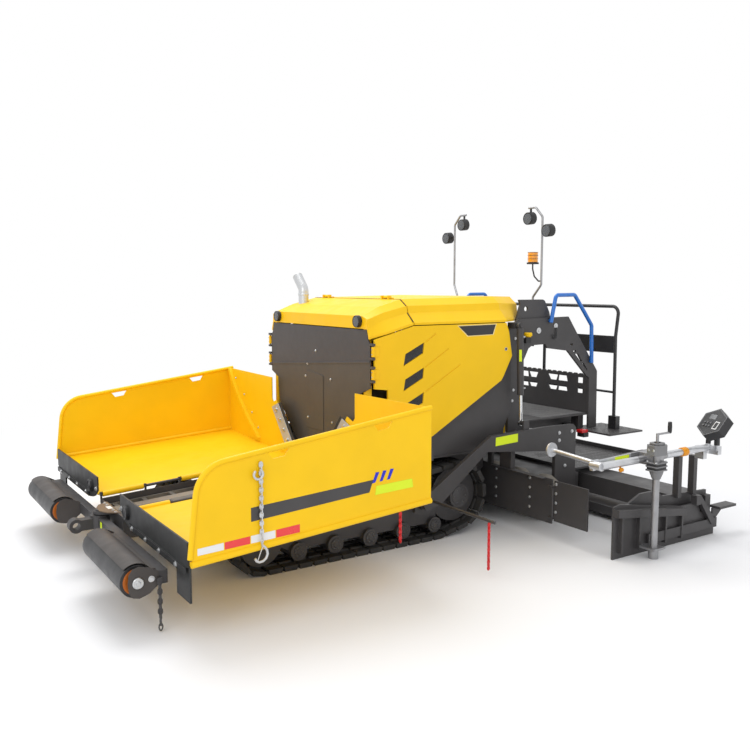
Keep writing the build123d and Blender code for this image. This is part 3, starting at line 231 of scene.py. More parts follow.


# Each coat's edges turn a little lighter in patches: partly rubbed paint, partly a painted highlight.
def coat(name, colour, roughness, wear_and_highlight=None, metallic=0.0, gloss_coat=0.0, skin_scale=420.0, skin=0.03,
         shade=0.05, shine=0.5):
    """A finish with its shade, its edge wear and painted edge highlight, and its skin. Its slot is the coat
    class that pieces in it are given.
    """
    surface = Surface(name)
    darker = tuple(c * (1 - shade) for c in colour)
    lighter = tuple(min(1.0, c * (1 + shade)) for c in colour)
    broad = surface.ranged(surface.noise(*tone_noise), *tone_range, 0.0, 1.0)
    tone = surface.mixed(broad, darker, lighter)
    edge, rounded = surface.edges(paint_edge)
    if wear_and_highlight is not None:
        patch = surface.ranged(surface.noise(*wear_highlight_noise), *wear_highlight_range, 0.0, wear_highlight_most)
        tone = surface.mixed(surface.math("MULTIPLY", edge, patch), tone, wear_and_highlight)
    rough = surface.cloudy(9.0, roughness, roughness * rough_swing)
    bumped = surface.add("ShaderNodeBump", {"Strength": skin, "Distance": skin_height, "Normal": rounded,
                                            "Height": surface.noise(skin_scale, 1.0)})
    surface.feed(surface.shader, {"Base Color": tone, "Roughness": rough, "Normal": bumped,
                                  "Metallic": metallic, "Specular IOR Level": shine,
                                  "Coat Weight": gloss_coat, "Coat Roughness": lacquer_rough})
    return surface.material


print("coat helper ready")

# %% [markdown]
# The machine carries few coats: warm yellow on the hopper, the hood and the doors, charcoal on the chassis
# and the screed, blue for what a hand holds, and bare or plated steel for tubes and rods.
# Yellow is kept just below full strength, so that the lamps don't burn it out.

# %% The coats
yellow_tone, charcoal_tone, red_tone = (0.93, 0.57, 0.004), (0.052, 0.049, 0.050), (0.62, 0.012, 0.016)
yellow = coat("yellow_paint", yellow_tone, 0.44, wear_and_highlight=(0.98, 0.70, 0.06), shade=0.03,
              shine=0.28)
charcoal = coat("charcoal_paint", charcoal_tone, 0.46, wear_and_highlight=(0.16, 0.15, 0.15), shade=0.10)
black = coat("black_paint", (0.022, 0.022, 0.024), 0.36, wear_and_highlight=(0.08, 0.08, 0.08),
             shade=0.10)
blue = coat("blue_paint", (0.008, 0.15, 0.56), 0.30, gloss_coat=0.4)
red = coat("red_paint", red_tone, 0.34, wear_and_highlight=(0.75, 0.12, 0.10), shade=0.08)
white_paint = coat("white_paint", (0.82, 0.82, 0.80), 0.36, shade=0.03)
plated = coat("plated_steel", (0.60, 0.61, 0.62), 0.34, metallic=1.0, shade=0.08,
              skin_scale=160.0)
chrome = coat("hard_chrome", (0.78, 0.79, 0.80), 0.10, metallic=1.0, shade=0.02, skin=0.0)
scoured = coat("scoured_steel", (0.26, 0.24, 0.21), 0.40, metallic=0.75, shade=0.25,
               skin_scale=90.0, skin=0.12)
iron = coat("engine_iron", (0.10, 0.10, 0.10), 0.55, shade=0.15, skin=0.2, skin_scale=120.0)
rubber = coat("shoe_rubber", (0.030, 0.029, 0.028), 0.72, wear_and_highlight=(0.10, 0.095, 0.09),
              shade=0.25, skin_scale=240.0, skin=0.25)
black_plastic = coat("black_plastic", (0.024, 0.024, 0.025), 0.55, shade=0.10,
                     skin_scale=900.0, skin=0.08)
orange = coat("orange_paint", (0.78, 0.30, 0.01), 0.42, shade=0.08, shine=0.3)
rust_orange = coat("dust_ring_paint", (0.42, 0.11, 0.012), 0.50, shade=0.20, shine=0.3)
lime = coat("lime_label", (0.72, 0.88, 0.01), 0.45, shade=0.02, skin=0.0)
amber = coat("amber_moulding", (0.95, 0.36, 0.01), 0.18, shade=0.04, gloss_coat=0.8,
             skin=0.0)
apron_black = coat("apron_paint", (0.022, 0.023, 0.024), 0.50, wear_and_highlight=(0.10, 0.09, 0.08),
                   shade=0.15)
roller_steel = coat("roller_steel", (0.030, 0.030, 0.032), 0.45, wear_and_highlight=(0.12, 0.11, 0.11),
                    shade=0.20, metallic=0.2)

# %% [markdown]
# The heat shield ahead of the hood has two tones: the lower plates are a lighter brown.
# A mask on the height of the surface moves from one coat to the other, and a weak noise clouds both.
# Its limit follows the shield's crease, which climbs a little towards the machine's left.

# %% Two-tone shield
crease_z, crease_climb, crease_soft = 1.269, 0.080, 0.003
upper_tone, lower_tone, shield_rough = (0.058, 0.053, 0.056), (0.076, 0.064, 0.052), 0.52
shield = Surface("shield_paint")
place = shield.split()
level = shield.math("MULTIPLY_ADD", place["Y"], -crease_climb, place["Z"])
lower_share = shield.ranged(level, crease_z + crease_soft, crease_z - crease_soft, 0.0, 1.0)
rough = shield.cloudy(20.0, shield_rough, 0.04)
tone = shield.scaled(shield.mixed(lower_share, upper_tone, lower_tone), shield.cloudy(5.0, 1.0, 0.08))
shield.feed(shield.shader, {"Base Color": tone, "Roughness": rough, "Normal": shield.edges(paint_edge)[1]})
print("crease climbs", crease_climb, "a metre")

# %% [markdown]
# Some CAD nodes carry two or three finishes: a plated tube that ends in a black box, or a bright chain and a
# red one. Their coat is chosen by place: each zone is a box in the object's own space, mirrored to both
# sides, and the first finish fills the rest.

# %% Coats that change from place to place
far = 9.0
zone_edge = 0.002
# each finish: colour, metallic, roughness
zinc = ((0.36, 0.36, 0.37), 0.85, 0.42)
bright_zinc = ((0.62, 0.63, 0.65), 0.85, 0.40)
painted_black = ((0.020, 0.020, 0.022), 0.0, 0.45)
painted_charcoal = (charcoal_tone, 0.0, 0.46)
painted_yellow = (yellow_tone, 0.0, 0.44)
painted_red = (red_tone, 0.0, 0.36)


def zoned(name, first, zones):
    surface = Surface(name)
    place = surface.split()
    value_of = {"X": place["X"], "Y": surface.math("ABSOLUTE", place["Y"]), "Z": place["Z"]}
    colour, metal, rough = first
    for finish, limits in zones:
        mask = 1.0
        for axis, low, high in limits:
            above = surface.math("GREATER_THAN", value_of[axis], low)
            below = surface.math("LESS_THAN", value_of[axis], high)
            mask = surface.math("MULTIPLY", mask, surface.math("MULTIPLY", above, below))
        colour = surface.mixed(mask, colour, finish[0])
        metal = surface.mixed(mask, metal, finish[1], "FLOAT")
        rough = surface.mixed(mask, rough, finish[2], "FLOAT")
    colour = surface.scaled(colour, surface.cloudy(14.0, 1.0, 0.10))
    surface.feed(surface.shader, {"Base Color": colour, "Metallic": metal, "Roughness": rough,
                                  "Normal": surface.edges(zone_edge)[1]})
    return surface.material


rig_finish = zoned("rig_steel", bright_zinc, (
    (zinc, (("X", -1.30, -1.00),)),
    (painted_charcoal, (("X", -1.16, -0.70), ("Y", 1.73, 1.775))),
    (painted_black, (("X", -far, -1.55), ("Z", 0.712, far))),
))
mast_finish = zoned("mast_steel", zinc, ((painted_yellow, (("Z", 0.0, 1.735),)),))
chain_finish = zoned("wing_chain_steel", bright_zinc, ((painted_red, (("X", -far, 1.2),)),))
print("zoned coats", rig_finish.name, mast_finish.name, chain_finish.name)

# %% [markdown]
# Each CAD node gets its coat through its material slots. The nodes' meshes are never touched.
# What the list doesn't name is charcoal.

# %% Dress the CAD nodes
coated = (
    (yellow, ("wing_left", "wing_right", "hood_cap", "hood_lid", "side_door_left", "side_door_right")),
    (apron_black, ("apron_left", "apron_right")),
    (chain_finish, ("wing_chains_left", "wing_chains_right")),
    (scoured, ("conveyor", "auger_left", "auger_right")),
    (iron, ("engine_block",)),
    (shield.material, ("heat_shield",)),
    (plated, ("exhaust_pipe",)),
    (black_plastic, ("work_lamps", "beacon")),
    (blue, ("handrails",)),
    (black, ("rear_rails",)),
    (mast_finish, ("light_masts",)),
    (red, ("guide_chains",)),
    (rig_finish, ("gate_rig_left", "gate_rig_right")),
    (chrome, ("lift_rod_left", "lift_rod_right")),
    (roller_steel, ("push_roller_left", "push_roller_right")),
    (rubber, ("track_left", "track_right")),
)
coat_of = {name: material for material, names in coated for name in names}
for name, piece in node.items():
    piece.data.materials.clear()
    piece.data.materials.append(coat_of.get(name, charcoal))
print("dressed", len(node), "nodes,", len(node) - len(coat_of), "in charcoal")

# %% [markdown]
# Pieces that aren't in the CAD are built as bmesh solids or by Geometry Nodes.
# The shapes below draw boxes, plates and turned solids in place, so that a finished piece's object
# stays at the origin. One call then draws a piece's shapes and gives it its coat and its body.

# %% Mesh helpers
sharp_angle, bevel_angle = math.radians(38), math.radians(35)


def add_box(bm, first, second):
    """A box between two opposite corners."""
    spans = [sorted(pair) for pair in zip(first, second)]
    for vert in bmesh.ops.create_cube(bm, size=1.0)["verts"]:
        vert.co = [(low + high) / 2 + share * (high - low) for share, (low, high) in zip(vert.co, spans)]


def add_plate(bm, outline, push):
    """A flat outline in space pushed along one vector into a solid plate."""
    first = [bm.verts.new(point) for point in outline]
    second = [bm.verts.new(Vector(point) + Vector(push)) for point in outline]
    bm.faces.new(first)
    bm.faces.new(list(reversed(second)))
    for k in range(len(first)):
        n = (k + 1) % len(first)
        bm.faces.new((first[k], first[n], second[n], second[k]))


def add_turned(bm, profile, start, direction, segments=32):
    """Turn a profile of (radius, distance along the axis) about an axis, closing it at both ends."""
    axis = Vector(direction).normalized()
    aside = axis.orthogonal().normalized()
    other = axis.cross(aside)
    rings = []
    for radius, along in profile:
        middle = Vector(start) + axis * along
        ring = []
        for k in range(segments if radius > 1e-6 else 1):
            angle = 2 * math.pi * k / segments
            ring.append(bm.verts.new(middle + (aside * math.cos(angle) + other * math.sin(angle)) * radius))
        rings.append(ring)
    for ring, following in zip(rings, rings[1:]):
        for k in range(segments):
            n = (k + 1) % segments
            if len(ring) == 1 and len(following) == 1:
                continue
            if len(ring) == 1:
                bm.faces.new((ring[0], following[n], following[k]))
            elif len(following) == 1:
                bm.faces.new((ring[k], ring[n], following[0]))
            else:
                bm.faces.new((ring[k], ring[n], following[n], following[k]))
    for ring in (rings[0], rings[-1]):
        if len(ring) > 1:
            bm.faces.new(ring)


def drawn(name, shapes):
    """A mesh of one or more shapes, each given as its function and that function's values."""
    bm = bmesh.new()
    for shape, *values in shapes:
        shape(bm, *values)
    bmesh.ops.recalc_face_normals(bm, faces=bm.faces)
    mesh = bpy.data.meshes.new(name)
    bm.to_mesh(mesh)
    bm.free()
    return mesh


def place_piece(name, mesh, body, smooth=False, bevel=0.0):
    piece = bpy.data.objects.new(name, mesh)
    scene.collection.objects.link(piece)
    if smooth:
        for face in mesh.polygons:
            face.use_smooth = True
        mesh.set_sharp_from_angle(angle=sharp_angle)
    if bevel > 0:
        rounding = piece.modifiers.new("rounding", "BEVEL")
        rounding.width = bevel
        rounding.segments = 2
        rounding.limit_method = "ANGLE"
        rounding.angle_limit = bevel_angle
    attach(piece, body)
    print(name, len(mesh.polygons), "faces")
    return piece


def settle(name, material, body, *shapes, slot=None, smooth=False, bevel=0.0):
    """A finished piece from its shapes."""
    mesh = drawn(name, shapes)
    mesh.materials.append(material)
    return place_piece(name, mesh, body, smooth, bevel)


def on_side(sign, y, outline):
    """Points on an upright plane at one side of the machine, from pairs of X and Z."""
    return [(x, sign * y, z) for x, z in outline]


film = 0.0007


def side_film(name, sign, face, outlines, material, body, proud=film):
    """Thin films that lie on an upright side face."""
    settle(name, material, body, *[(add_plate, on_side(sign, face, outline), (0, sign * proud, 0))
                                   for outline in outlines])


print("mesh helpers ready")

# %% [markdown]
# Geometry Nodes place what repeats: a tree takes points, curves or sizes and returns solid copies.
# A pattern keeps its inputs by name,
# and sets them on the modifier by their identifiers before the object is first evaluated.

# %% A helper for Geometry Nodes trees


class Pattern(Graph):
    def __init__(self, name):
        super().__init__(bpy.data.node_groups.new(name, "GeometryNodeTree"))
        self.tree.is_modifier = True
        for way in ("INPUT", "OUTPUT"):
            self.tree.interface.new_socket(name="Geometry", in_out=way, socket_type="NodeSocketGeometry")
        self.group_in = self.tree.nodes.new("NodeGroupInput")
        self.identifiers = {}

    def base(self):
        return self.group_in.outputs["Geometry"]

    def size(self, name, kind, default=None):
        item = self.tree.interface.new_socket(name=name, in_out="INPUT", socket_type="NodeSocket" + kind)
        if default is not None:
            item.default_value = default
        self.identifiers[name] = item.identifier
        return self.group_in.outputs[name]

    def shape(self, kind, inputs=None, **settings):
        return self.add("GeometryNode" + kind, inputs, **settings)

    def facing(self, vector, axis="Z", **settings):
        return self.add("FunctionNodeAlignRotationToVector", {"Vector": vector}, axis=axis, **settings)

    def copies(self, points, instance, rotation):
        return self.shape("InstanceOnPoints", {"Points": points, "Instance": instance, "Rotation": rotation})

    def join(self, *outputs):
        joined = self.node("GeometryNodeJoinGeometry")
        for output in reversed(outputs):
            self.tree.links.new(output, joined.inputs["Geometry"])
        return joined.outputs["Geometry"]

    def finish(self, geometry):
        """End the tree with real geometry and its material."""
        real = self.shape("RealizeInstances", {"Geometry": geometry})
        coated = self.shape("SetMaterial", {"Geometry": real, "Material": self.size("Coat", "Material")})
        self.node("NodeGroupOutput", {"Geometry": coated})


def grow(name, pattern, base_mesh, values, material, body, smooth=False):
    """Run a pattern on a base mesh and keep the result as a plain piece on one body."""
    source = bpy.data.objects.new(name + "_base", base_mesh)
    scene.collection.objects.link(source)
    modifier = source.modifiers.new("pattern", "NODES")
    modifier.node_group = pattern.tree
    for key, value in {**values, "Coat": material}.items():
        modifier[pattern.identifiers[key]] = value
    bpy.context.view_layer.update()
    evaluated = source.evaluated_get(bpy.context.evaluated_depsgraph_get())
    mesh = bpy.data.meshes.new_from_object(evaluated)
    bpy.data.objects.remove(source)
    mesh.name = name
    return place_piece(name, mesh, body, smooth)


def facing_points(rows):
    """A mesh of loose points, each with the direction that its copy faces."""
    mesh = bpy.data.meshes.new("points")
    mesh.from_pydata([row[0] for row in rows], [], [])
    facing = mesh.attributes.new("facing", "FLOAT_VECTOR", "POINT")
    for k, row in enumerate(rows):
        facing.data[k].vector = row[1]
    return mesh


def finish_on_points(pattern, shape):
    """Set a copy on every point, turned to the point's own direction."""
    direction = pattern.add("GeometryNodeInputNamedAttribute", {"Name": "facing"}, "Attribute",
                            data_type="FLOAT_VECTOR")
    pattern.finish(pattern.copies(pattern.base(), shape, pattern.facing(direction)))


print("pattern helper ready")

# %% [markdown]
# A bolt shows as a hexagonal head on a round washer.
# The pattern builds both from mesh cylinders and sets a copy on every point, turned to the point's own
# direction.

# %% Bolt heads
washer_wide, washer_tall, head_rise, head_tall = 1.45, 0.5, 0.6, 0.75
bolts = Pattern("bolt_heads")
across = bolts.size("Radius", "Float", 0.012)
tall = bolts.size("Height", "Float", 0.008)
head = bolts.shape("MeshCylinder", {"Vertices": 6, "Radius": across, "Depth": tall})
washer = bolts.shape("MeshCylinder", {"Vertices": 20, "Radius": bolts.math("MULTIPLY", across, washer_wide),
                                      "Depth": bolts.math("MULTIPLY", tall, washer_tall)})
lift = bolts.add("ShaderNodeCombineXYZ", {"Z": bolts.math("MULTIPLY", tall, head_rise)})
raised = bolts.shape("Transform", {"Geometry": head, "Translation": lift})
finish_on_points(bolts, bolts.join(raised, washer))


def bolt_set(name, rows, radius, body, material=plated):
    values = {"Radius": radius, "Height": radius * head_tall}
    grow(name, bolts, facing_points(rows), values, material, body)


print("bolt pattern ready")

# %% [markdown]
# The outer wall of each wing carries reflective tape in white and red, low down, and a dark slanted band
# above it. Behind the band stand three slanted blue strokes, and under them a blank lime label.
# All are thin films: flat plates under a millimetre thick that lie on the wall and fold up with it.

# %% Tape and band on the wings
wall_face = 1.489
tape_ends = (1.978, 1.379)
tape_low, tape_high = (0.464, 0.491), (0.501, 0.537)
tape_gap = 0.004
band = ((1.673, 0.596), (1.673, 0.672), (0.896, 0.723), (0.923, 0.651))
wall_label = ((0.883, 0.630), (0.609, 0.641), (0.617, 0.695), (0.876, 0.684))
stroke = ((0.904, 0.702), (0.882, 0.705), (0.854, 0.764), (0.879, 0.765))
stroke_shift, stroke_rise = -0.0515, 0.004
tape_white = coat("tape_white", (0.78, 0.79, 0.80), 0.30, shade=0.03, gloss_coat=0.5, skin=0.0)
tape_red = coat("tape_red", (0.80, 0.03, 0.03), 0.30, shade=0.04, gloss_coat=0.5, skin=0.0)
stroke_blue = coat("stroke_blue", (0.010, 0.020, 0.55), 0.35, shade=0.03, skin=0.0)


def between(pair, share):
    return pair[0] + (pair[1] - pair[0]) * share


def tape_part(part):
    """The outline of one quarter of the tape, a hair shorter than the quarter."""
    ends = (part / 4 + tape_gap, (part + 1) / 4 - tape_gap)
    corners = ((ends[0], tape_low), (ends[0], tape_high), (ends[1], tape_high), (ends[1], tape_low))
    return [(between(tape_ends, share), between(edge, share)) for share, edge in corners]


strokes = [[(x + stroke_shift * k, z + stroke_rise * k) for x, z in stroke] for k in range(3)]
films = (
    ("tape_0", tape_white, [tape_part(0), tape_part(2)]),
    ("tape_1", tape_red, [tape_part(1), tape_part(3)]),
    ("wall_band", charcoal, [band]),
    ("wall_strokes", stroke_blue, strokes),
    ("wall_label", lime, [wall_label]),
)
for sign, side in both_sides:
    for name, colour, outlines in films:
        side_film(f"{name}_{side}", sign, wall_face, outlines, colour, f"wing_{side}_body")
print("tape length", round(tape_ends[0] - tape_ends[1], 3), "m")

# %% [markdown]
# A broad plated bar with coach bolts holds a rubber skirt on the inner edge of each wing's rear wall.
# Both reach past the wall's edge and narrow the gap to the conveyor tunnel. Small bolts follow the gusset.
# The right wing's rear wall stands a little ahead of the left one's, so that the two can fold past each
# other.

# %% Clamp bars, skirts and gusset bolts
rear_wall = {"left": 0.482, "right": 0.510}
wall_sheet, skirt_thick, bar_thick = 0.007, 0.006, 0.005
bar_low, bar_high = Vector((0.352, 0.586)), Vector((0.590, 0.868))
inwards = Vector((-0.938, 0.347))
bar_width = 0.125
skirt_lap, skirt_reach = 0.040, 0.034
gusset_out = 0.026
bolt_shares = (0.10, 0.36, 0.62, 0.88)
gusset_spots = ((1.280, 1.040), (1.106, 0.912), (0.955, 0.774), (0.832, 0.660))
zinc_bar = coat("zinc_bar", (0.50, 0.51, 0.52), 0.48, metallic=0.35, shade=0.12,
                skin_scale=160.0)


def wall_strip(sign, x, start, end):
    """The corners of a strip along the bar's line, between two distances inwards from it."""
    corners = (bar_low + inwards * start, bar_low + inwards * end, bar_high + inwards * end,
               bar_high + inwards * start)
    return [(x, sign * corner.x, corner.y) for corner in corners]


for sign, side in both_sides:
    body = f"wing_{side}_body"
    face = rear_wall[side] + wall_sheet
    bar = wall_strip(sign, face + skirt_thick, 0, bar_width)
    settle(f"clamp_bar_{side}", zinc_bar, body, (add_plate, bar, (bar_thick, 0, 0)), bevel=0.0015)
    skirt = wall_strip(sign, face, bar_width - skirt_lap, bar_width + skirt_reach)
    settle(f"edge_skirt_{side}", rubber, body, (add_plate, skirt, (skirt_thick, 0, 0)))
    spots = [bar_low.lerp(bar_high, share) + inwards * (bar_width / 2) for share in bolt_shares]
    rows = [((face + skirt_thick + bar_thick, sign * spot.x, spot.y), front) for spot in spots]
    bolt_set(f"clamp_bolts_{side}", rows, 0.014, body)
    rows = [((rear_wall[side] + gusset_out, sign * y, z), front) for y, z in gusset_spots]
    bolt_set(f"gusset_bolts_{side}", rows, 0.007, body)

# %% [markdown]
# The dark apron closes the wing's front edge. Four bolts hold its lower bar and one its plate,
# and the end of the wing's hinge tube shows beside the tunnel as a round hub with a bolt in the middle.

# %% Apron bolts and hinge hubs
apron_face, apron_bar, hub_tall = 2.020, 0.010, 0.0161
bar_bolts_y, plate_bolt = (0.548, 0.804, 1.041, 1.308), (0.300, 0.448)
hub_profile = ((0.0, 0.005), (0.012, 0.005), (0.016, 0.002), (0.032, 0.002), (0.036, 0.006), (0.043, 0.005),
               (0.044, 0.0), (0.0, 0.0))
for sign, side in both_sides:
    body = f"wing_{side}_body"
    rows = [((apron_face + apron_bar, sign * y, 0.380), front) for y in bar_bolts_y]
    rows.append(((apron_face, sign * plate_bolt[0], plate_bolt[1]), front))
    bolt_set(f"apron_bolts_{side}", rows, 0.0115, body)
    hub_place = (apron_face + hub_tall, sign * 0.424, 0.450)
    settle(f"apron_hub_{side}", black, body, (add_turned, hub_profile, hub_place, front, 36), smooth=True)

# %% [markdown]
# The push rollers turn on fixed pins. At each end shows an orange dust ring, with a plated cap on the
# bracket. A ring is turned from a short profile, because a plain disc would lack the rounded lip that
# catches the light. A folded sheet covers the rear half of each roller. It leaves the beam's upper edge,
# runs over the roller on an arc a few millimetres clear of it, and ends above its top. A cheek plate
# closes each end, behind the cap.

# %% Roller rings, caps, covers and cheeks
roller_x, roller_z = 2.212, 0.290
roller_ends = (0.443, 1.211)
bracket_face = 1.2405
ring_profile = ((0.030, 0.0), (0.030, 0.003), (0.058, 0.003), (0.066, 0.0045), (0.072, 0.002), (0.072, 0.0),
                (0.030, 0.0))
cap_profile = ((0.0, 0.0), (0.031, 0.0), (0.031, 0.006), (0.027, 0.010), (0.013, 0.010), (0.011, 0.015),
               (0.0, 0.015))
cover_radius, cover_thick = 0.0945, 0.003
cover_ends = (0.452, 1.203)
beam_edge = (2.104, 0.337)
arc_from, arc_to, arc_steps = 146, 48, 16
cheek_faces = ((0.4168, -1), (1.2372, 1))
cheek = ((2.100, 0.262), (2.150, 0.222), (2.205, 0.204), (2.240, 0.212), (2.260, 0.240), (2.266, 0.290),
         (2.260, 0.340), (2.240, 0.368), (2.205, 0.378), (2.150, 0.364), (2.100, 0.337))
cover_paint = coat("beam_paint", (0.060, 0.052, 0.048), 0.55, wear_and_highlight=(0.16, 0.14, 0.12),
                   shade=0.18)


def cover_line(radius, lift):
    line = [(beam_edge[0], beam_edge[1] + lift)]
    for k in range(arc_steps + 1):
        angle = math.radians(arc_from + (arc_to - arc_from) * k / arc_steps)
        line.append((roller_x + radius * math.cos(angle), roller_z + radius * math.sin(angle)))
    return line


cover = cover_line(cover_radius + cover_thick, cover_thick) + cover_line(cover_radius, 0.0)[::-1]
for sign, side in both_sides:
    rings = [(add_turned, ring_profile, (roller_x, sign * end, roller_z), (0, sign * outwards, 0), 48)
             for end, outwards in zip(roller_ends, (-1, 1))]
    settle(f"roller_rings_{side}", rust_orange, f"push_roller_{side}_body", *rings, smooth=True)
    cap_place = (roller_x, sign * bracket_face, roller_z)
    settle(f"roller_cap_{side}", plated, "push_beam_body",
           (add_turned, cap_profile, cap_place, (0, sign, 0), 36), smooth=True)
    low, high = sorted((sign * cover_ends[0], sign * cover_ends[1]))
    settle(f"roller_cover_{side}", cover_paint, "push_beam_body",
           (add_plate, on_side(1, low, cover), (0, high - low, 0)), smooth=True)
    cheeks = [(add_plate, on_side(sign, y, cheek), (0, sign * outwards * cover_thick, 0))
              for y, outwards in cheek_faces]
    settle(f"roller_cheek_{side}", cover_paint, "push_beam_body", *cheeks, bevel=0.0006)
rows = [((2.140, sign * bracket_face, 0.300), (0, sign, 0)) for sign in (1, -1)]
bolt_set("bracket_bolts", rows, 0.012, "push_beam_body")

# %% [markdown]
# Between the wings the hot mix has stained the cover over the push beam's pivot brown.
# It is a bevelled plate with a blank metal tag, and a blank lime label lies on the beam ahead of it.

# %% Pivot cover and blank tags
cover_z, cover_sheet = 0.3765, 0.008
cover_outline = ((1.985, -0.170), (1.985, 0.170), (2.060, 0.110), (2.092, 0.040), (2.092, -0.040),
                 (2.060, -0.110))
mix_stain = coat("mix_stained_steel", (0.155, 0.098, 0.052), 0.5, wear_and_highlight=(0.24, 0.19, 0.14),
                 shade=0.22, skin_scale=70.0, skin=0.15)
settle("pivot_cover", mix_stain, "tractor",
       (add_plate, [(x, y, cover_z) for x, y in cover_outline], (0, 0, cover_sheet)), bevel=0.002)
settle("pivot_tag", white_paint, "tractor", (add_box, (2.000, -0.035, 0.3843), (2.032, 0.035, 0.3853)))
settle("beam_label", lime, "push_beam_body", (add_box, (2.1062, 0.112, 0.272), (2.1070, 0.150, 0.330)))
rows = [((2.010, y, cover_z + cover_sheet), up) for y in (-0.130, -0.075, 0.075, 0.130)]
bolt_set("pivot_cover_bolts", rows, 0.008, "tractor")

# %% [markdown]
# Each track is a closed chain of forty shoes, and a shoe is a steel plate with a split rubber pad below and
# two chain links above. One shoe is modelled in its own space: X along the track, Z outwards.
# A pattern then resamples the track's path into forty points and sets a shoe on each, turned along the path.
# The path itself follows a rule: it is the tight belt round the tail roller, the front idler and the
# sprocket. Where a pad's corner would reach under the floor, its rubber is pressed flat against it.

# %% One track shoe
shoe_count = 40
sprocket_x, sprocket_z = -0.330, 0.300
belt_circles = (
    # x, z, radius over the shoes
    (-0.120, 0.108, 0.108),
    (1.264, 0.200, 0.200),
    (sprocket_x, sprocket_z, 0.255),
)
track_middle, track_width = 0.663, 0.250
pad_depth, plate_depth, link_depth = 0.024, 0.010, 0.014
shoe_inset = pad_depth + plate_depth
plate_sink = 0.001
pad_gap, pad_slope = 0.012, 0.008
link_place, link_half = 0.048, 0.010
# shares of the pitch: half the plate, and how far a link reaches rearwards and forwards
plate_share, link_rear, link_front = 0.46, 0.52, 0.30


def belt_path(inset, step=3):
    """The tight outline round the wheels, walked with the bottom run going rearwards."""
    spots = set()
    for x, z, radius in belt_circles:
        for angle in (math.radians(k) for k in range(0, 360, step)):
            spots.add((x + (radius - inset) * math.cos(angle), z + (radius - inset) * math.sin(angle)))
    spots = sorted(spots)

    def half_of(points):
        hull = []
        for p in points:
            while len(hull) > 1:
                a, b = hull[-2], hull[-1]
                if (b[0] - a[0]) * (p[1] - a[1]) - (b[1] - a[1]) * (p[0] - a[0]) > 0:
                    break
                hull.pop()
            hull.append(p)
        return hull

    around = half_of(spots)[:-1] + half_of(spots[::-1])[:-1]
    return around[::-1]


def add_pad(bm, reach, low, high):
    """A rubber block that narrows downwards on all four sides."""
    bottom = [(-reach, low), (reach, low), (reach, high), (-reach, high)]
    x, y = reach - pad_slope, pad_slope * 0.5
    top = [(-x, low + y), (x, low + y), (x, high - y), (-x, high - y)]
    lower = [bm.verts.new((*point, plate_depth - plate_sink)) for point in bottom]
    upper = [bm.verts.new((*point, shoe_inset)) for point in top]
    bm.faces.new(lower)
    bm.faces.new(list(reversed(upper)))
    for k in range(4):
        n = (k + 1) % 4
        bm.faces.new((lower[k], lower[n], upper[n], upper[k]))


path = belt_path(shoe_inset)
track_length = sum(math.dist(a, b) for a, b in zip(path, path[1:] + path[:1]))
pitch = track_length / shoe_count
half, reach = track_width / 2, pitch * plate_share
link_ends = (-pitch * link_rear, pitch * link_front)
shoe_parts = [(add_box, (-reach, -half, -plate_sink), (reach, half, plate_depth - plate_sink)),
              (add_pad, reach, -half, -pad_gap), (add_pad, reach, pad_gap, half)]
for y in (-link_place, link_place):
    outline = [(link_ends[0], y - link_half, -link_depth), (link_ends[1], y - link_half, -link_depth),
               (link_ends[1], y - link_half, -plate_sink), (link_ends[0], y - link_half, -plate_sink)]
    shoe_parts.append((add_plate, outline, (0, 2 * link_half, 0)))
shoe = bpy.data.objects.new("shoe_source", drawn("shoe", shoe_parts))
scene.collection.objects.link(shoe)
print("track length", round(track_length, 3), "m, pitch", round(pitch * 1000, 1), "mm")

# %% [markdown]
# The path is evened into one point for each shoe, and every shoe turns with the path.
# The finished shoes stand in for the plain track of the CAD.

# %% Tracks grown from the shoe
laid = Pattern("laid_track")
amount = laid.size("Shoes", "Int", shoe_count)
shoe_kind = laid.size("Shoe", "Object")
line = laid.shape("MeshToCurve", {"Mesh": laid.base()})
evened = laid.shape("ResampleCurve", {"Curve": line, "Count": amount})
turned = laid.facing(laid.shape("InputTangent"), "X", pivot_axis="Y")
one_shoe = laid.add("GeometryNodeObjectInfo", {"Object": shoe_kind}, "Geometry")
laid.finish(laid.copies(evened, one_shoe, turned))
for sign, side in both_sides:
    mesh = bpy.data.meshes.new("belt_line")
    edges = [(k, (k + 1) % len(path)) for k in range(len(path))]
    mesh.from_pydata(on_side(sign, track_middle, path), edges, [])
    piece = grow(f"shoes_{side}", laid, mesh, {"Shoes": shoe_count, "Shoe": shoe}, rubber, "tractor")
    for vert in piece.data.vertices:
        vert.co.z = max(vert.co.z, 0.0)
    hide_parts(f"track_{side}")
bpy.data.objects.remove(shoe)

# %% [markdown]
# Road wheels, idler and sprocket turn on greased hubs. Each gets a stepped cap with a ring of bolts,
# and the sprocket a ring of teeth. A circle pattern sets the teeth: it puts a tapered tooth on every point
# of a mesh circle and turns it outwards.

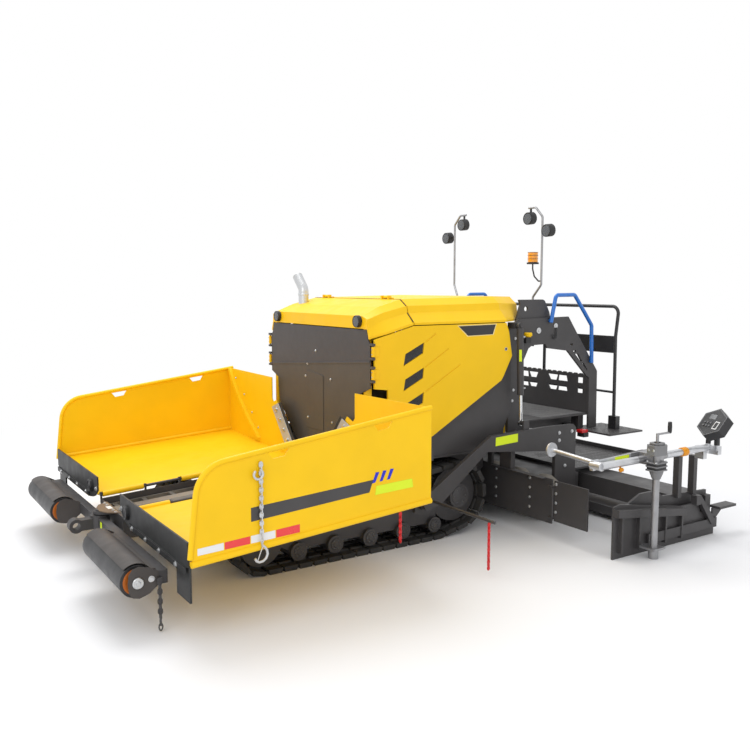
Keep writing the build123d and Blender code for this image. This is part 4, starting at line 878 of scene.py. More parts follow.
# %% Wheel caps and sprocket teeth
wheels = (
    # x, z, radius of the cap, face of the wheel
    *[(x, 0.108, 0.040, 0.758) for x in (-0.120, 0.160, 0.440, 0.720, 1.000)],
    (1.264, 0.200, 0.050, 0.764),
    (sprocket_x, sprocket_z, 0.070, 0.780),
)
cap_steps = ((0.0, 0.010), (0.45, 0.010), (0.55, 0.006), (0.92, 0.006), (1.0, 0.003), (1.0, -0.001),
             (0.0, -0.001))
bolt_ring, bolt_stand = 0.74, 0.006
teeth_count, teeth_radius, teeth_width = 18, 0.196, 0.05
tooth_tip, tooth_foot, tooth_tall, cone_width = 0.008, 0.021, 0.028, 0.03
for sign, side in both_sides:
    caps, rows = [], []
    for x, z, radius, face in wheels:
        profile = [(radius * share, along) for share, along in cap_steps]
        caps.append((add_turned, profile, (x, sign * face, z), (0, sign, 0), 28))
        for angle in (math.radians(60 * k) for k in range(6)):
            spot = (x + radius * bolt_ring * math.cos(angle), sign * (face + bolt_stand),
                    z + radius * bolt_ring * math.sin(angle))
            rows.append((spot, (0, sign, 0)))
    settle(f"wheel_caps_{side}", charcoal, "tractor", *caps, smooth=True)
    bolt_set(f"wheel_bolts_{side}", rows, 0.0042, "tractor", iron)

teeth = Pattern("tooth_ring")
ring_radius = teeth.size("Radius", "Float", teeth_radius)
tooth_total = teeth.size("Teeth", "Int", teeth_count)
tooth_width = teeth.size("Width", "Float", teeth_width)
sprocket = teeth.size("Place", "Vector", (0, 0, 0))
ring = teeth.shape("MeshCircle", {"Vertices": tooth_total, "Radius": ring_radius})
tooth = teeth.shape("MeshCone", {"Vertices": 4, "Radius Top": tooth_tip, "Radius Bottom": tooth_foot,
                                 "Depth": tooth_tall})
stretch = teeth.math("DIVIDE", tooth_width, cone_width)
wide = teeth.add("ShaderNodeCombineXYZ", {"X": 1.0, "Y": stretch, "Z": 1.0})
widened = teeth.shape("Transform", {"Geometry": tooth, "Scale": wide, "Rotation": (0, 0, math.radians(45))})
outwards = teeth.facing(teeth.shape("InputPosition"))
stand = teeth.shape("Transform", {"Geometry": teeth.copies(ring, widened, outwards),
                                  "Rotation": (math.radians(90), 0, 0)})
teeth.finish(teeth.shape("Transform", {"Geometry": stand, "Translation": sprocket}))
for sign, side in both_sides:
    values = {"Radius": teeth_radius, "Teeth": teeth_count, "Width": teeth_width,
              "Place": (sprocket_x, sign * track_middle, sprocket_z)}
    grow(f"sprocket_teeth_{side}", teeth, bpy.data.meshes.new("none"), values, charcoal, "tractor")

# %% [markdown]
# Each side door breathes through three raked vents. Fine wire mesh closes them, over a black sheet that
# paints the shade inside the door.
# A pattern turns any drawn edges into round wire, so the mesh is drawn as two crossing families of
# straight edges. The same pattern later bends hooks and chain links from drawn lines.

# %% Wire mesh in the door vents
wires = Pattern("round_wire")
wire_radius = wires.size("Radius", "Float", 0.001)
wire_sides = wires.size("Sides", "Int", 6)
drawn_curve = wires.shape("MeshToCurve", {"Mesh": wires.base()})
section = wires.shape("CurvePrimitiveCircle", {"Radius": wire_radius, "Resolution": wire_sides})
wires.finish(wires.shape("CurveToMesh", {"Curve": drawn_curve, "Fill Caps": True, "Profile Curve": section}))


def wire_piece(name, lines, radius, sides, material, body, smooth=True):
    """A piece of round wire along loose polylines, with each line a list of points."""
    points, edges = [], []
    for line in lines:
        edges.extend((len(points) + k, len(points) + k + 1) for k in range(len(line) - 1))
        points.extend(tuple(point) for point in line)
    mesh = bpy.data.meshes.new("lines")
    mesh.from_pydata(points, edges, [])
    grow(name, wires, mesh, {"Radius": radius, "Sides": sides}, material, body, smooth)


vent_levels = (1.392, 1.215, 1.038)
vent_corners = ((0.178, -0.102), (0.008, -0.017), (0.0, 0.059), (0.163, -0.018))
pocket_floor = 0.767
shade_sheet_corners = ((0.01, 0.02), (0.99, 0.02), (0.99, 0.98), (0.01, 0.98))
mesh_lines, mesh_rows = 15, 7
upright_inset, level_inset = 0.0030, 0.0036
mesh_grey = coat("vent_mesh", (0.070, 0.074, 0.078), 0.5, shade=0.05, skin=0.0)


def across_vent(level, sign, share, rise, inset):
    """A point in the vent: share runs from the front corner rearwards, rise from its lower edge upwards."""
    low = [between(pair, share) for pair in zip(vent_corners[0], vent_corners[1])]
    high = [between(pair, share) for pair in zip(vent_corners[3], vent_corners[2])]
    x, z = [between(pair, rise) for pair in zip(low, high)]
    return (x, sign * (pocket_floor + inset), level + z)


# The black sheets on the vent floors are painted shade for the dark inside of the door.
for sign, side in both_sides:
    body = f"side_door_{side}_body"
    shade_sheets, lines = [], []
    for level in vent_levels:
        corners = [across_vent(level, sign, s, r, 0.0002) for s, r in shade_sheet_corners]
        shade_sheets.append((add_plate, corners, (0, sign * 0.001, 0)))
        for s in (k / (mesh_lines + 1) for k in range(1, mesh_lines + 1)):
            lines.append([across_vent(level, sign, s, r, upright_inset) for r in (0.03, 0.97)])
        for r in (k / (mesh_rows + 1) for k in range(1, mesh_rows + 1)):
            lines.append([across_vent(level, sign, s, r, level_inset) for s in (0.02, 0.98)])
    settle(f"vent_backs_{side}", black_plastic, body, *shade_sheets)
    wire_piece(f"vent_mesh_{side}", lines, 0.0016, 6, mesh_grey, body, smooth=False)

# %% [markdown]
# The same pattern finishes the chains. The plated one on each wing gets an open hook at its top, three
# more links and a hook with a latch at its lower end, and the dark one at each push roller two more links.
# Each is drawn as a line and turned into round wire.

# %% Hooks and last links of the chains
hook_y = 1.511
hook_middle, hook_bend = (1.637, 0.853), 0.026
wing_links = {"x": 1.619, "y": 1.507, "top": 0.524, "pitch": 0.0225, "half_width": 0.0075, "slack": 0.0045}
beam_links = {"x": 2.100, "y": 1.252, "top": 0.0700, "pitch": 0.0270, "half_width": 0.0100, "slack": 0.0060}
link_points = 12
chain_zinc = coat("chain_zinc", bright_zinc[0], bright_zinc[2], metallic=bright_zinc[1],
                  shade=0.06, skin=0.0)
hook_angles = [math.radians(k) for k in range(110, 421, 15)]
top_hook = [(hook_middle[0] + hook_bend * math.cos(angle), hook_middle[1] + hook_bend * math.sin(angle))
            for angle in hook_angles]
low_hook = ((1.621, 0.464), (1.606, 0.453), (1.593, 0.434), (1.590, 0.412), (1.599, 0.390), (1.617, 0.377),
            (1.638, 0.374), (1.655, 0.382), (1.664, 0.398))
latch = ((1.618, 0.456), (1.634, 0.420), (1.648, 0.384))


def chain_link(sign, number, links):
    """One closed link, with every second link turned a quarter."""
    line = []
    for k in range(link_points + 1):
        angle = 2 * math.pi * k / link_points
        out = links["half_width"] * math.cos(angle)
        rise = (links["pitch"] * 0.5 + links["slack"]) * math.sin(angle)
        z = links["top"] - links["pitch"] * (number + 0.5) + rise
        along, aside = (out, 0.0) if number % 2 else (0.0, out)
        line.append((links["x"] + along, sign * (links["y"] + aside), z))
    return line


for sign, side in both_sides:
    body = f"wing_{side}_body"
    hooks = [on_side(sign, hook_y, shape) for shape in (top_hook, low_hook)]
    wing_chain = [chain_link(sign, number, wing_links) for number in range(3)]
    beam_chain = [chain_link(sign, number, beam_links) for number in range(2)]
    wire_piece(f"chain_links_{side}", wing_chain, 0.0030, 8, chain_zinc, body)
    wire_piece(f"chain_hooks_{side}", hooks, 0.0074, 10, chain_zinc, body)
    wire_piece(f"hook_latch_{side}", [on_side(sign, hook_y, latch)], 0.0030, 8, chain_zinc, body)
    wire_piece(f"end_links_{side}", beam_chain, 0.0042, 8, iron, "push_beam_body")

# %% [markdown]
# Behind the vents the door carries a badge, left blank: a dark film with slanted ends inside a pale outline.
# A quarter-turn latch sits near the rear edge, with a plated rim round a black slotted core.

# %% Blank badge and door latch
door_face = 0.776
badge_corners = ((-0.308, 1.556), (-0.664, 1.560), (-0.636, 1.488), (-0.398, 1.484))
edge_along, edge_high = 1.06, 1.16
latch_x, latch_z = -0.770, 1.372
rim_profile = ((0.0, 0.0), (0.014, 0.0), (0.014, 0.002), (0.0115, 0.0035), (0.0105, 0.002), (0.0, 0.002))
core_profile = ((0.0, 0.0018), (0.0085, 0.0018), (0.0085, 0.0032), (0.0, 0.0032))
badge_pale = coat("badge_outline", (0.90, 0.72, 0.30), 0.4, shade=0.02, skin=0.0)
middle_x, middle_z = [sum(values) / 4 for values in zip(*badge_corners)]
badge_rim = [(middle_x + (x - middle_x) * edge_along, middle_z + (z - middle_z) * edge_high)
             for x, z in badge_corners]
for sign, side in both_sides:
    body = f"side_door_{side}_body"
    side_film(f"badge_outline_{side}", sign, door_face, [badge_rim], badge_pale, body, 0.0004)
    side_film(f"badge_{side}", sign, door_face, [badge_corners], black, body, 0.0008)
    latch_place = (latch_x, sign * door_face, latch_z)
    settle(f"latch_rim_{side}", plated, body, (add_turned, rim_profile, latch_place, (0, sign, 0), 28),
           smooth=True)
    slot_low = (latch_x - 0.0065, sign * (door_face + 0.003), latch_z - 0.0012)
    slot_high = (latch_x + 0.0065, sign * (door_face + 0.0042), latch_z + 0.0012)
    settle(f"latch_core_{side}", black_plastic, body,
           (add_turned, core_profile, latch_place, (0, sign, 0), 20), (add_box, slot_low, slot_high))

# %% [markdown]
# The lid meets the fixed front of the hood in a narrow seam. A black rubber strip lies in it as painted shade
# that darkens the seam. It follows the hood's own section a few millimetres below the paint.
# A seal lies along each top rail, so that little light shows between the lid and the door.

# %% Painted shade under the lid seam, and seals on the rails
seam_x, seam_shade_half, seam_shade_thick = 0.096, 0.0035, 0.0028
rail_low, rail_high = (-0.850, 0.6655, 1.560), (0.060, 0.6765, 1.588)
seam_shade_section = ((0.7745, 1.594), (0.700, 1.657), (0.684, 1.705), (0.612, 1.7505))
bound = [*seam_shade_section, *((-y, z) for y, z in reversed(seam_shade_section))]
strips = []
for (y0, z0), (y1, z1) in zip(bound, bound[1:]):
    outline = [(seam_x - seam_shade_half, y0, z0), (seam_x - seam_shade_half, y1, z1), (seam_x + seam_shade_half, y1, z1),
               (seam_x + seam_shade_half, y0, z0)]
    strips.append((add_plate, outline, (0, 0, seam_shade_thick)))
# The black strip under the seam is painted shade that darkens it.
settle("lid_seal", rubber, "tractor", *strips, slot="black_plastic")
for sign, side in both_sides:
    rail = (add_box, *[(x, sign * y, z) for x, y, z in (rail_low, rail_high)])
    settle(f"rail_seal_{side}", rubber, "tractor", rail, slot="black_plastic", bevel=0.003)

# %% [markdown]
# A lamp has a black bezel and a faceted metal dish behind clear glass.
# The glass is modelled, a little domed, so that it mirrors the sky.

# %% Lamp fronts
glass = Surface("lamp_glass")
glass.feed(glass.shader, {"Base Color": (0.20, 0.22, 0.25, 1), "Roughness": 0.04, "IOR": 1.45,
                          "Transmission Weight": 0.55})
dish = coat("lamp_dish", (0.060, 0.066, 0.078), 0.30, metallic=0.6, shade=0.10, skin=0.0)
# profiles: share of the lamp's radius, distance ahead of its face
bezel_profile = ((0.86, 0.0), (1.0, 0.0), (1.0, 0.004), (0.95, 0.0075), (0.86, 0.0060), (0.86, 0.0))
dish_profile = ((0.0, 0.0006), (0.86, 0.0006), (0.86, 0.0024), (0.40, 0.0012), (0.16, 0.0012), (0.14, 0.0030),
                (0.0, 0.0032))
glass_profile = ((0.0, 0.0040), (0.85, 0.0040), (0.85, 0.0048), (0.55, 0.0062), (0.0, 0.0068))
lamp_fronts = (
    # name, x, y, z, radius
    ("hood_lamp", 0.462, 0.610, 1.603, 0.042),
    ("mast_lamp_top", -1.303, 0.425, 2.392, 0.050),
    ("mast_lamp_side", -1.299, 0.640, 2.284, 0.050),
)
for sign, side in both_sides:
    for name, x, y, z, radius in lamp_fronts:
        for part, profile, material, segments in (("bezel", bezel_profile, black_plastic, 36),
                                                  ("dish", dish_profile, dish, 24),
                                                  ("glass", glass_profile, glass.material, 36)):
            sized = [(radius * share, along) for share, along in profile]
            settle(f"{name}_{side}_{part}", material, "tractor",
                   (add_turned, sized, (x, sign * y, z), front, segments), smooth=part != "dish")

# %% [markdown]
# The exhaust is an open pipe with a cut end. A black disc just inside a thin rim shows the opening.
# Its black is the pipe's soot and painted shade for its inside. A band clamp with its screw holds the pipe
# where it leaves the roof.

# %% Exhaust mouth and clamp
pipe_radius, pipe_wall = 0.041, 0.003
bend = Vector((0.252, -0.537, 1.822))
mouth = Vector((0.260, -0.622, 1.925))
clamp_place = (0.252, -0.537, 1.768)
screw_low, screw_high = (0.246, -0.596, 1.7725), (0.262, -0.579, 1.7835)
pipe_way = (mouth - bend).normalized()
bore = pipe_radius - pipe_wall
soot_and_shade_profile = ((0.0, 0.0), (bore, 0.0), (bore, 0.0006), (0.0, 0.0006))
rim_profile = ((bore, 0.0), (pipe_radius, 0.0), (pipe_radius, 0.0022), (bore, 0.0022), (bore, 0.0))
# the clamp's profile: distance outside the pipe, height
clamp_profile = ((0.0003, 0.0), (0.003, 0.0), (0.0035, 0.003), (0.0035, 0.017), (0.003, 0.020),
                 (0.0003, 0.020), (0.0003, 0.0))
soot = coat("soot", (0.012, 0.011, 0.010), 0.9, shade=0.3, skin=0.1)
# The black disc is soot and painted shade for the dark inside of the pipe.
settle("exhaust_mouth", soot, "tractor", (add_turned, soot_and_shade_profile, mouth, pipe_way, 40))
settle("exhaust_rim", plated, "tractor", (add_turned, rim_profile, mouth, pipe_way, 40), smooth=True)
settle("exhaust_clamp", plated, "tractor",
       (add_turned, [(pipe_radius + out, along) for out, along in clamp_profile], clamp_place, up, 40),
       (add_box, screw_low, screw_high), smooth=True)

# %% [markdown]
# The heat shield is bolted to its posts. One of its plates stands proud of the rest, so a bolt there starts
# from that plate's face. Small screws hold the leaves of the door hinges.

# %% Bolts on the shield and the hinges
shield_face, panel_face, bolt_lift = 0.440, 0.444, 0.002
panel_sides, panel_top = (-0.150, 0.110), 1.2
shield_bolts = ((-0.001, 1.361), (-0.131, 1.253), (-0.163, 1.156), (0.218, 1.162), (-0.125, 0.838),
                (0.238, 0.842))
rows = []
for y, z in shield_bolts:
    on_panel = panel_sides[0] < y < panel_sides[1] and z < panel_top
    rows.append((((panel_face if on_panel else shield_face) + bolt_lift, y, z), front))
bolt_set("shield_bolts", rows, 0.0070, "tractor")
for sign, side in both_sides:
    rows = [((0.4495, sign * 0.7875, z), front) for z in (1.229, 1.263, 1.385, 1.419)]
    bolt_set(f"door_hinge_screws_{side}", rows, 0.0030, "tractor")

# %% [markdown]
# Where the crew walks, the plates carry raised bars against slipping. They lie in rows, each bar turned
# across its neighbours, so one pattern lays them: a grid of points, and on each a flat bar whose turn
# depends on its number.

# %% Tread bars on the deck and the steps
tread_pitch, tread_sink = 0.040, 0.0005
tread_bar = (0.026, 0.005, 0.0022)
deck_z, deck_sheet, step_z = 0.782, 0.0010, 0.656
tread = Pattern("tread_bars")
tread_size = {key: tread.size(key, "Float", 1.0) for key in ("Length", "Width")}
tread_count = {key: tread.size(key, "Int", 10) for key in ("Along", "Across")}
tread_place = tread.size("Place", "Vector", (0, 0, 0))
grid_inputs = {"Size X": tread_size["Length"], "Size Y": tread_size["Width"],
               "Vertices X": tread_count["Along"], "Vertices Y": tread_count["Across"]}
tread_grid = tread.shape("MeshGrid", grid_inputs)
bar = tread.shape("MeshCube", {"Size": tread_bar})
number = tread.shape("InputIndex")
column = tread.math("FLOOR", tread.math("DIVIDE", number, tread_count["Across"]))
turn_flag = tread.math("MODULO", tread.math("ADD", column, number), 2.0)
bar_angle = tread.math("MULTIPLY_ADD", turn_flag, math.radians(90), math.radians(45))
bar_turn = tread.add("ShaderNodeCombineXYZ", {"Z": bar_angle})
tread.finish(tread.shape("Transform", {"Geometry": tread.copies(tread_grid, bar, bar_turn),
                                       "Translation": tread_place}))
tread_grey = coat("tread_paint", (0.175, 0.172, 0.172), 0.42, wear_and_highlight=(0.34, 0.34, 0.34),
                  shade=0.10)


def tread_field(name, low, high, top, body="tractor"):
    length, width = high[0] - low[0], high[1] - low[1]
    values = {"Length": length, "Width": width, "Along": round(length / tread_pitch) + 1,
              "Across": round(width / tread_pitch) + 1,
              "Place": ((low[0] + high[0]) / 2, (low[1] + high[1]) / 2, top + tread_sink)}
    grow(name, tread, bpy.data.meshes.new("none"), values, tread_grey, body)


settle("deck_sheet", tread_grey, "tractor",
       (add_box, (-1.790, -0.640, deck_z), (-1.290, 0.640, deck_z + deck_sheet)))
tread_field("deck_tread", (-1.770, -0.600), (-1.300, 0.600), deck_z + deck_sheet)
for sign, side in both_sides:
    low, high = sorted((sign * 0.600, sign * 0.960))
    tread_field(f"step_tread_{side}", (-2.070, low), (-1.985, high), step_z)
    low, high = sorted((sign * 0.680, sign * 0.960))
    tread_field(f"step_tread_front_{side}", (-1.850, low), (-1.730, high), step_z)

# %% [markdown]
# On the arches' outer faces the photograph shows two bright pin heads, a black hook on the rear one,
# and a yellow filler cap in a black bracket. A hook is a drawn line turned into round wire.

# %% Pin heads, hooks and filler caps on the arches
arch_face = 0.700
hook_x, hook_bend = -1.369, 0.018
arch_pins = ((-1.182, 1.495, 0.024), (hook_x, 1.529, 0.021))
# the pin's profile: share of its radius, distance out
pin_profile = ((0.0, 0.0), (1.0, 0.0), (1.0, 0.003), (0.86, 0.005), (0.45, 0.005), (0.40, 0.009),
               (0.0, 0.009))
filler_profile = ((0.0, 0.0), (0.024, 0.0), (0.024, 0.006), (0.032, 0.008), (0.032, 0.028), (0.027, 0.034),
                  (0.0, 0.034))
arch_bolts = ((-0.934, 1.442), (-0.922, 1.040), (-0.912, 0.956))
hook_line = [(hook_x, 0.007, 1.515)] + [(hook_x, 0.009, z) for z in (1.489, 1.464, 1.446)]
for angle in (math.radians(180 * k / 7) for k in range(1, 8)):
    hook_line.append((hook_x + hook_bend * (1 - math.cos(angle)), 0.010, 1.444 - hook_bend * math.sin(angle)))
hook_line.append((hook_x + 2 * hook_bend, 0.010, 1.462))
for sign, side in both_sides:
    pins = [(add_turned, [(radius * share, along) for share, along in pin_profile], (x, sign * arch_face, z),
             (0, sign, 0)) for x, z, radius in arch_pins]
    settle(f"arch_pins_{side}", plated, "tractor", *pins, smooth=True)
    hook = [(x, sign * (arch_face + out), z) for x, out, z in hook_line]
    wire_piece(f"arch_hook_{side}", [hook], 0.0045, 8, black, "tractor")
    bracket = (add_box, (-1.062, sign * arch_face, 1.404), (-1.006, sign * (arch_face + 0.046), 1.452))
    settle(f"filler_bracket_{side}", black_plastic, "tractor", bracket, bevel=0.003)
    cap = (add_turned, filler_profile, (-1.034, sign * (arch_face + 0.036), 1.452), up, 28)
    settle(f"filler_cap_{side}", yellow, "tractor", cap, smooth=True)
    rows = [(spot, (0, sign, 0)) for spot in on_side(sign, arch_face + 0.001, arch_bolts)]
    bolt_set(f"arch_bolts_{side}", rows, 0.008, "tractor")

# %% [markdown]
# A narrow blank lime label lies on each lift cylinder's barrel, and two plated ports stand on its rear
# side.

# %% Lift cylinder label and fittings
top_pin, low_pin = Vector((-0.880, 0.808, 1.545)), Vector((-0.905, 0.808, 0.800))
down = (low_pin - top_pin).normalized()
barrel_radius, label_sink = 0.026, 0.0012
label_turn = math.radians(52)
label_start, label_length, label_half = 0.180, 0.090, 0.010
port_profile = ((0.0, 0.0), (0.009, 0.0), (0.009, 0.012), (0.0065, 0.014), (0.0065, 0.024), (0.0, 0.024))
for sign, side in both_sides:
    body = f"lift_barrel_{side}_body"
    spot = top_pin + down * label_start
    facing = Vector((math.cos(label_turn), sign * math.sin(label_turn), 0.0))
    along = Vector((-facing.y, facing.x, 0.0)) * label_half
    middle = Vector((spot.x, sign * spot.y, spot.z)) + facing * (barrel_radius - label_sink)
    end = middle + down * label_length
    corners = [middle - along, middle + along, end + along, end - along]
    settle(f"barrel_label_{side}", lime, body, (add_plate, corners, facing * 0.0020))
    ports = []
    for share in (0.085, 0.480):
        port = top_pin + down * share
        ports.append((add_turned, port_profile, (port.x - 0.024, sign * port.y, port.z), (-1, 0, 0), 12))
    settle(f"barrel_ports_{side}", plated, body, *ports)

# %% [markdown]
# The operator's console shows from behind and above: a dark screen, keys in rows and a red stop key at
# each end. Keys are the repeated part, so they take the bolts' kind of points with a round head.

# %% Console controls
console_front, console_rear = Vector((-1.090, 0.0, 1.540)), Vector((-1.270, 0.0, 1.470))
slope = (console_rear - console_front).normalized()
panel_up = Vector((slope.z, 0.0, -slope.x))
frame_thick, key_lift = 0.006, 0.002
ring_wide, key_tall, ring_tall = 1.3, 0.008, 0.004
screen_glass = coat("screen_glass", (0.012, 0.016, 0.020), 0.10, shade=0.05, skin=0.0,
                    shine=0.8)


def on_console(along, y, lift=0.0):
    spot = console_front + slope * along + panel_up * lift
    return (spot.x, y, spot.z)


def console_pad(name, start, end, half_width, lift, thick, material, bevel=0.0):
    corners = [on_console(start, -half_width, lift), on_console(end, -half_width, lift),
               on_console(end, half_width, lift), on_console(start, half_width, lift)]
    settle(name, material, "tractor", (add_plate, corners, panel_up * thick), bevel=bevel)


console_pad("console_screen_frame", 0.035, 0.150, 0.095, 0.0, frame_thick, black_plastic, 0.001)
console_pad("console_screen", 0.043, 0.142, 0.085, frame_thick, 0.0006, screen_glass)

buttons = Pattern("push_buttons")
button_radius = buttons.size("Radius", "Float", 0.009)
wider = buttons.math("MULTIPLY", button_radius, ring_wide)
button_cap = buttons.shape("MeshCylinder", {"Vertices": 20, "Radius": button_radius, "Depth": key_tall})
button_ring = buttons.shape("MeshCylinder", {"Vertices": 20, "Radius": wider, "Depth": ring_tall})
finish_on_points(buttons, buttons.join(button_cap, button_ring))


def key_set(name, rows, radius, material, body):
    grow(name, buttons, facing_points(rows), {"Radius": radius}, material, body)


grey_keys = [(on_console(0.050 + 0.032 * row, sign * (0.135 + 0.034 * k), key_lift), panel_up)
             for sign in (1, -1) for row in range(3) for k in range(3)]
key_set("console_keys", grey_keys, 0.010, black_plastic, "tractor")
red_keys = [(on_console(0.070, sign * 0.262, key_lift), panel_up) for sign in (1, -1)]
key_set("console_stop_keys", red_keys, 0.015, red, "tractor")

# %% [markdown]
# The beacon's amber lens is ribbed: its profile is worked out rib by rib.
# Two dark bands ring it, and a dark lid closes its top.

# %% Ribbed beacon lens
beacon_x, beacon_y = -1.337, 0.458
lens_low, lens_tall = 2.040, 0.077
lens_core, lens_groove, lens_rib = 0.0385, 0.0405, 0.0425
rib_count = 6
rib_steps = [(lens_groove if k % 2 else lens_rib, lens_tall * k / (rib_count * 2))
             for k in range(rib_count * 2 + 1)]
lens_profile = [(lens_core, 0.0), *rib_steps, (lens_core, lens_tall), (lens_core, 0.0)]
gasket_profile = ((0.0400, 0.0), (0.0432, 0.0005), (0.0432, 0.0035), (0.0400, 0.004), (0.0400, 0.0))
lid_profile = ((0.0, 0.0), (lens_rib, 0.0), (lens_rib, 0.003), (0.0, 0.003))
band_rises = ((gasket_profile, 0.0245), (gasket_profile, 0.0515), (lid_profile, 0.0775))
beacon_bands = [(add_turned, profile, (beacon_x, beacon_y, lens_low + rise), up, 40)
                for profile, rise in band_rises]
settle("beacon_lens_left", amber, "tractor",
       (add_turned, lens_profile, (beacon_x, beacon_y, lens_low), up, 40))
settle("beacon_bands_left", black_plastic, "tractor", *beacon_bands)

# %% [markdown]
# A small red lamp on a black block stands ahead of the left step.

# %% Step lamp
block_low, block_high = (-1.699, 0.706, 0.604), (-1.640, 0.780, 0.641)
lamp_low, lamp_high = (-1.696, 0.710, 0.641), (-1.622, 0.776, 0.664)
settle("step_lamp_block", black_plastic, "tractor", (add_box, block_low, block_high), bevel=0.003)
settle("step_lamp", red, "tractor", (add_box, lamp_low, lamp_high), bevel=0.004)

# %% [markdown]
# Behind the tracks the retaining plates and their hinged flaps are bolted in columns of four.
# The outermost column sits on the flap, so it swings with it.
# The tow arms carry a blank lime label and a group of bolts at the rear plate.

# %% Bolts on the retaining plates, the flaps and the tow arms
keeper_face, column_rows = -0.794, 4
columns = (
    # y, top z, bottom z, whether it is on the flap
    (0.663, 0.427, 0.210, False),
    (1.035, 0.429, 0.209, False),
    (1.302, 0.430, 0.226, True),
)
arm_face = 0.892
arm_label = ((-0.580, 0.728), (-0.800, 0.738), (-0.800, 0.674), (-0.577, 0.664))
arm_bolts = ((-1.24, 0.700), (-1.24, 0.640), (-1.38, 0.700), (-1.38, 0.160), (-1.24, 0.160), (-1.31, 0.430))
for sign, side in both_sides:
    for y, top, bottom, on_flap in columns:
        rows = [((keeper_face + 0.001, sign * y, between((top, bottom), k / (column_rows - 1))), front)
                for k in range(column_rows)]
        body = f"keeper_flap_{side}_body" if on_flap else "tractor"
        bolt_set(f"keeper_bolts_{round(y * 1000)}_{side}", rows, 0.0085, body)
    side_film(f"arm_label_{side}", sign, arm_face, [arm_label], lime, "screed")
    rows = [(spot, (0, sign, 0)) for spot in on_side(sign, arm_face, arm_bolts)]
    bolt_set(f"arm_bolts_{side}", rows, 0.010, "screed")

# %% [markdown]
# The rig at each end gate has a lime label on its cross plate, an orange band and clamp knob on the long
# tube, and a grip on its crank.

# %% Labels, knobs and grip on the gate rig
tube_y, tube_z, tube_radius = 1.832, 0.680, 0.025
plate_face, fit = 1.785, 0.0003
rig_label = ((-0.840, 0.709), (-0.980, 0.712), (-0.982, 0.668), (-0.842, 0.669))
band_profile = ((tube_radius + fit, 0.0), (0.0300, 0.0), (0.0320, 0.004), (0.0320, 0.054), (0.0300, 0.058),
                (tube_radius + fit, 0.058), (tube_radius + fit, 0.0))
knob_profile = ((0.0, 0.0), (0.006, 0.0), (0.006, 0.010), (0.015, 0.014), (0.018, 0.026), (0.013, 0.036),
                (0.0, 0.038))
grip_profile = ((0.0102, 0.0), (0.0135, 0.003), (0.0150, 0.040), (0.0130, 0.072), (0.0102, 0.075),
                (0.0102, 0.0))
for sign, side in both_sides:
    body = f"extension_{side}_body"
    side_film(f"rig_label_{side}", sign, plate_face, [rig_label], lime, body)
    tube_band = (add_turned, band_profile, (-1.472, sign * tube_y, tube_z), (-1, 0, 0), 28)
    knob = (add_turned, knob_profile, (-0.834, sign * tube_y, tube_z - 0.026), (0, sign * 0.5, -0.8), 20)
    settle(f"rig_knobs_{side}", orange, body, tube_band, knob, smooth=True)
    settle(f"crank_grip_{side}", black_plastic, body,
           (add_turned, grip_profile, (-1.236, sign * 1.910, 0.854), up, 20), smooth=True)

# %% [markdown]
# A cast head holds the height column to the tube. It is a chamfered block with three clamp plates under it,
# black blocks set back between the plates as painted shade in their gaps, and a cone below that narrows to
# the column.

# %% Column head
column_x, column_y, column_radius = -1.110, 1.910, 0.024
cone_z = 0.550
plate_bolts_z, block_bolts_z, block_face = 0.671, 0.752, 0.0625
cast_grey = coat("cast_grey", (0.20, 0.20, 0.205), 0.45, metallic=0.4, wear_and_highlight=(0.34, 0.34, 0.35),
                 shade=0.12, skin=0.10, skin_scale=180.0)
head_parts = (
    # low z, height, half length, half width, corner cut
    (0.716, 0.070, 0.062, 0.050, 0.020),
    (0.786, 0.014, 0.048, 0.040, 0.018),
    *[(low, 0.010, 0.062, 0.048, 0.008) for low in (0.608, 0.634, 0.660)],
)
# Black blocks set back between the clamp plates are painted shade in the gaps.
gap_shade_parts = [(low, 0.0156, 0.056, 0.042, 0.008) for low in (0.6182, 0.6442)]
cone_profile = ((column_radius + fit, 0.0), (column_radius + 0.004, 0.0), (0.046, 0.048), (0.046, 0.062),
                (column_radius + fit, 0.062), (column_radius + fit, 0.0))


def head_plate(sign, low, height, half_x, half_y, cut):
    """An upright prism with cut corners round the column."""
    corners = ((half_x, half_y - cut), (half_x - cut, half_y), (cut - half_x, half_y),
               (-half_x, half_y - cut), (-half_x, cut - half_y), (cut - half_x, -half_y),
               (half_x - cut, -half_y), (half_x, cut - half_y))
    return (add_plate, [(column_x + a, sign * (column_y + b), low) for a, b in corners], (0, 0, height))


for sign, side in both_sides:
    body = f"extension_{side}_body"
    cone = (add_turned, cone_profile, (column_x, sign * column_y, cone_z), up, 28)
    settle(f"column_head_{side}", cast_grey, body, *[head_plate(sign, *part) for part in head_parts], cone,
           bevel=0.003)
    settle(f"column_packing_{side}", black_plastic, body,
           *[head_plate(sign, *part) for part in gap_shade_parts])
    rows = [((column_x + a, sign * (column_y + b), plate_bolts_z), up)
            for a in (-0.050, 0.050) for b in (-0.036, 0.036)]
    rows += [((column_x + block_face, sign * (column_y + b), block_bolts_z), front) for b in (-0.020, 0.020)]
    bolt_set(f"head_bolts_{side}", rows, 0.0065, body)

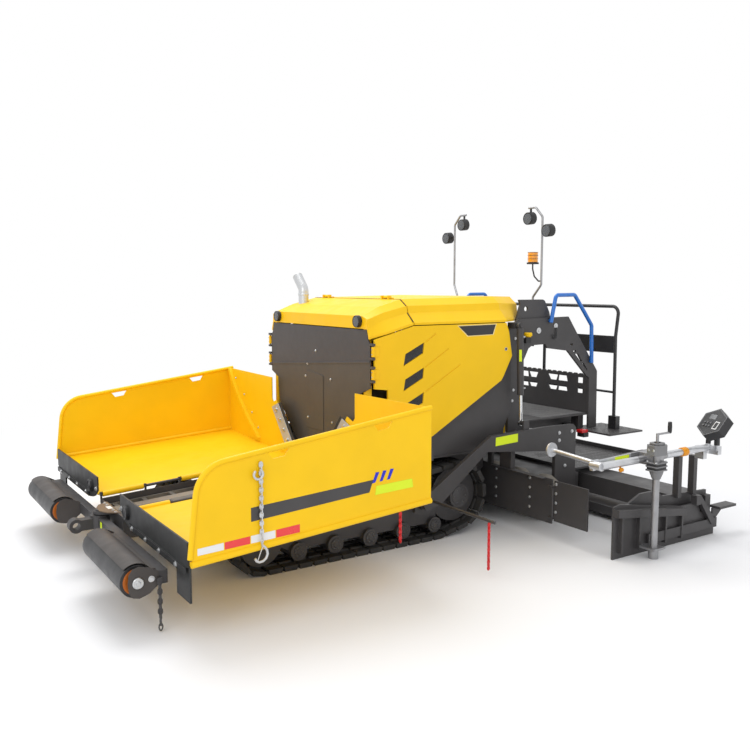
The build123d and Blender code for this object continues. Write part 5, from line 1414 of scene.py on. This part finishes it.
# %% [markdown]
# The control box is a flat hexagon tilted towards the operator. Its face has a raised rim, a dark screen,
# round keys and a pale frame round a blank label.

# %% Face of the control box
box_normal = Vector((0.75, -0.15, 0.64)).normalized()
box_right = Vector((0.2, 0.98, 0.0))
box_right = (box_right - box_normal * box_right.dot(box_normal)).normalized()
box_up = box_normal.cross(box_right)
box_centre = Vector((-1.700, 1.960, 0.850)) + box_normal * 0.070
face_reach = 0.120
rim_grey = coat("control_rim", (0.11, 0.11, 0.115), 0.5, shade=0.05)


def on_box(sign, right, high, lift=0.0):
    spot = box_centre + box_right * right + box_up * high + box_normal * lift
    return (spot.x, sign * spot.y, spot.z)


def hexagon(radius):
    angles = [math.radians(30 + 60 * k) for k in range(6)]
    return [(radius * math.cos(angle), radius * math.sin(angle)) for angle in angles]


def rectangle(left, low, right, high):
    return [(left, low), (right, low), (right, high), (left, high)]


box_layers = (
    # name, outline, height over the box, thickness, coat
    ("box_rim", hexagon(face_reach * 0.97), 0.0, 0.002, rim_grey),
    ("box_face", hexagon(face_reach * 0.89), 0.002, 0.001, black_plastic),
    ("box_screen", rectangle(-0.045, 0.020, 0.015, 0.062), 0.003, 0.0012, screen_glass),
    ("box_tag_frame", rectangle(0.030, -0.055, 0.070, 0.010), 0.003, 0.0010, white_paint),
    ("box_tag", rectangle(0.036, -0.048, 0.064, 0.003), 0.0038, 0.0008, black_plastic),
)
for sign, side in both_sides:
    body = f"extension_{side}_body"
    facing = Vector((box_normal.x, sign * box_normal.y, box_normal.z))
    for name, outline, low, thick, material in box_layers:
        corners = [on_box(sign, a, b, low) for a, b in outline]
        settle(f"{name}_{side}", material, body, (add_plate, corners, facing * thick), bevel=0.0004)
    keys = [(on_box(sign, -0.055 + 0.026 * k, -0.010 - 0.026 * row, 0.005), facing)
            for row in range(2) for k in range(3)]
    key_set(f"box_keys_{side}", keys, 0.0075, rim_grey, body)

# %% [markdown]
# The screed's walkway has the same tread bars as the deck.

# %% Walkway tread
tread_field("walkway_tread", (-2.280, -0.800), (-1.560, 0.800), 0.380, "screed")
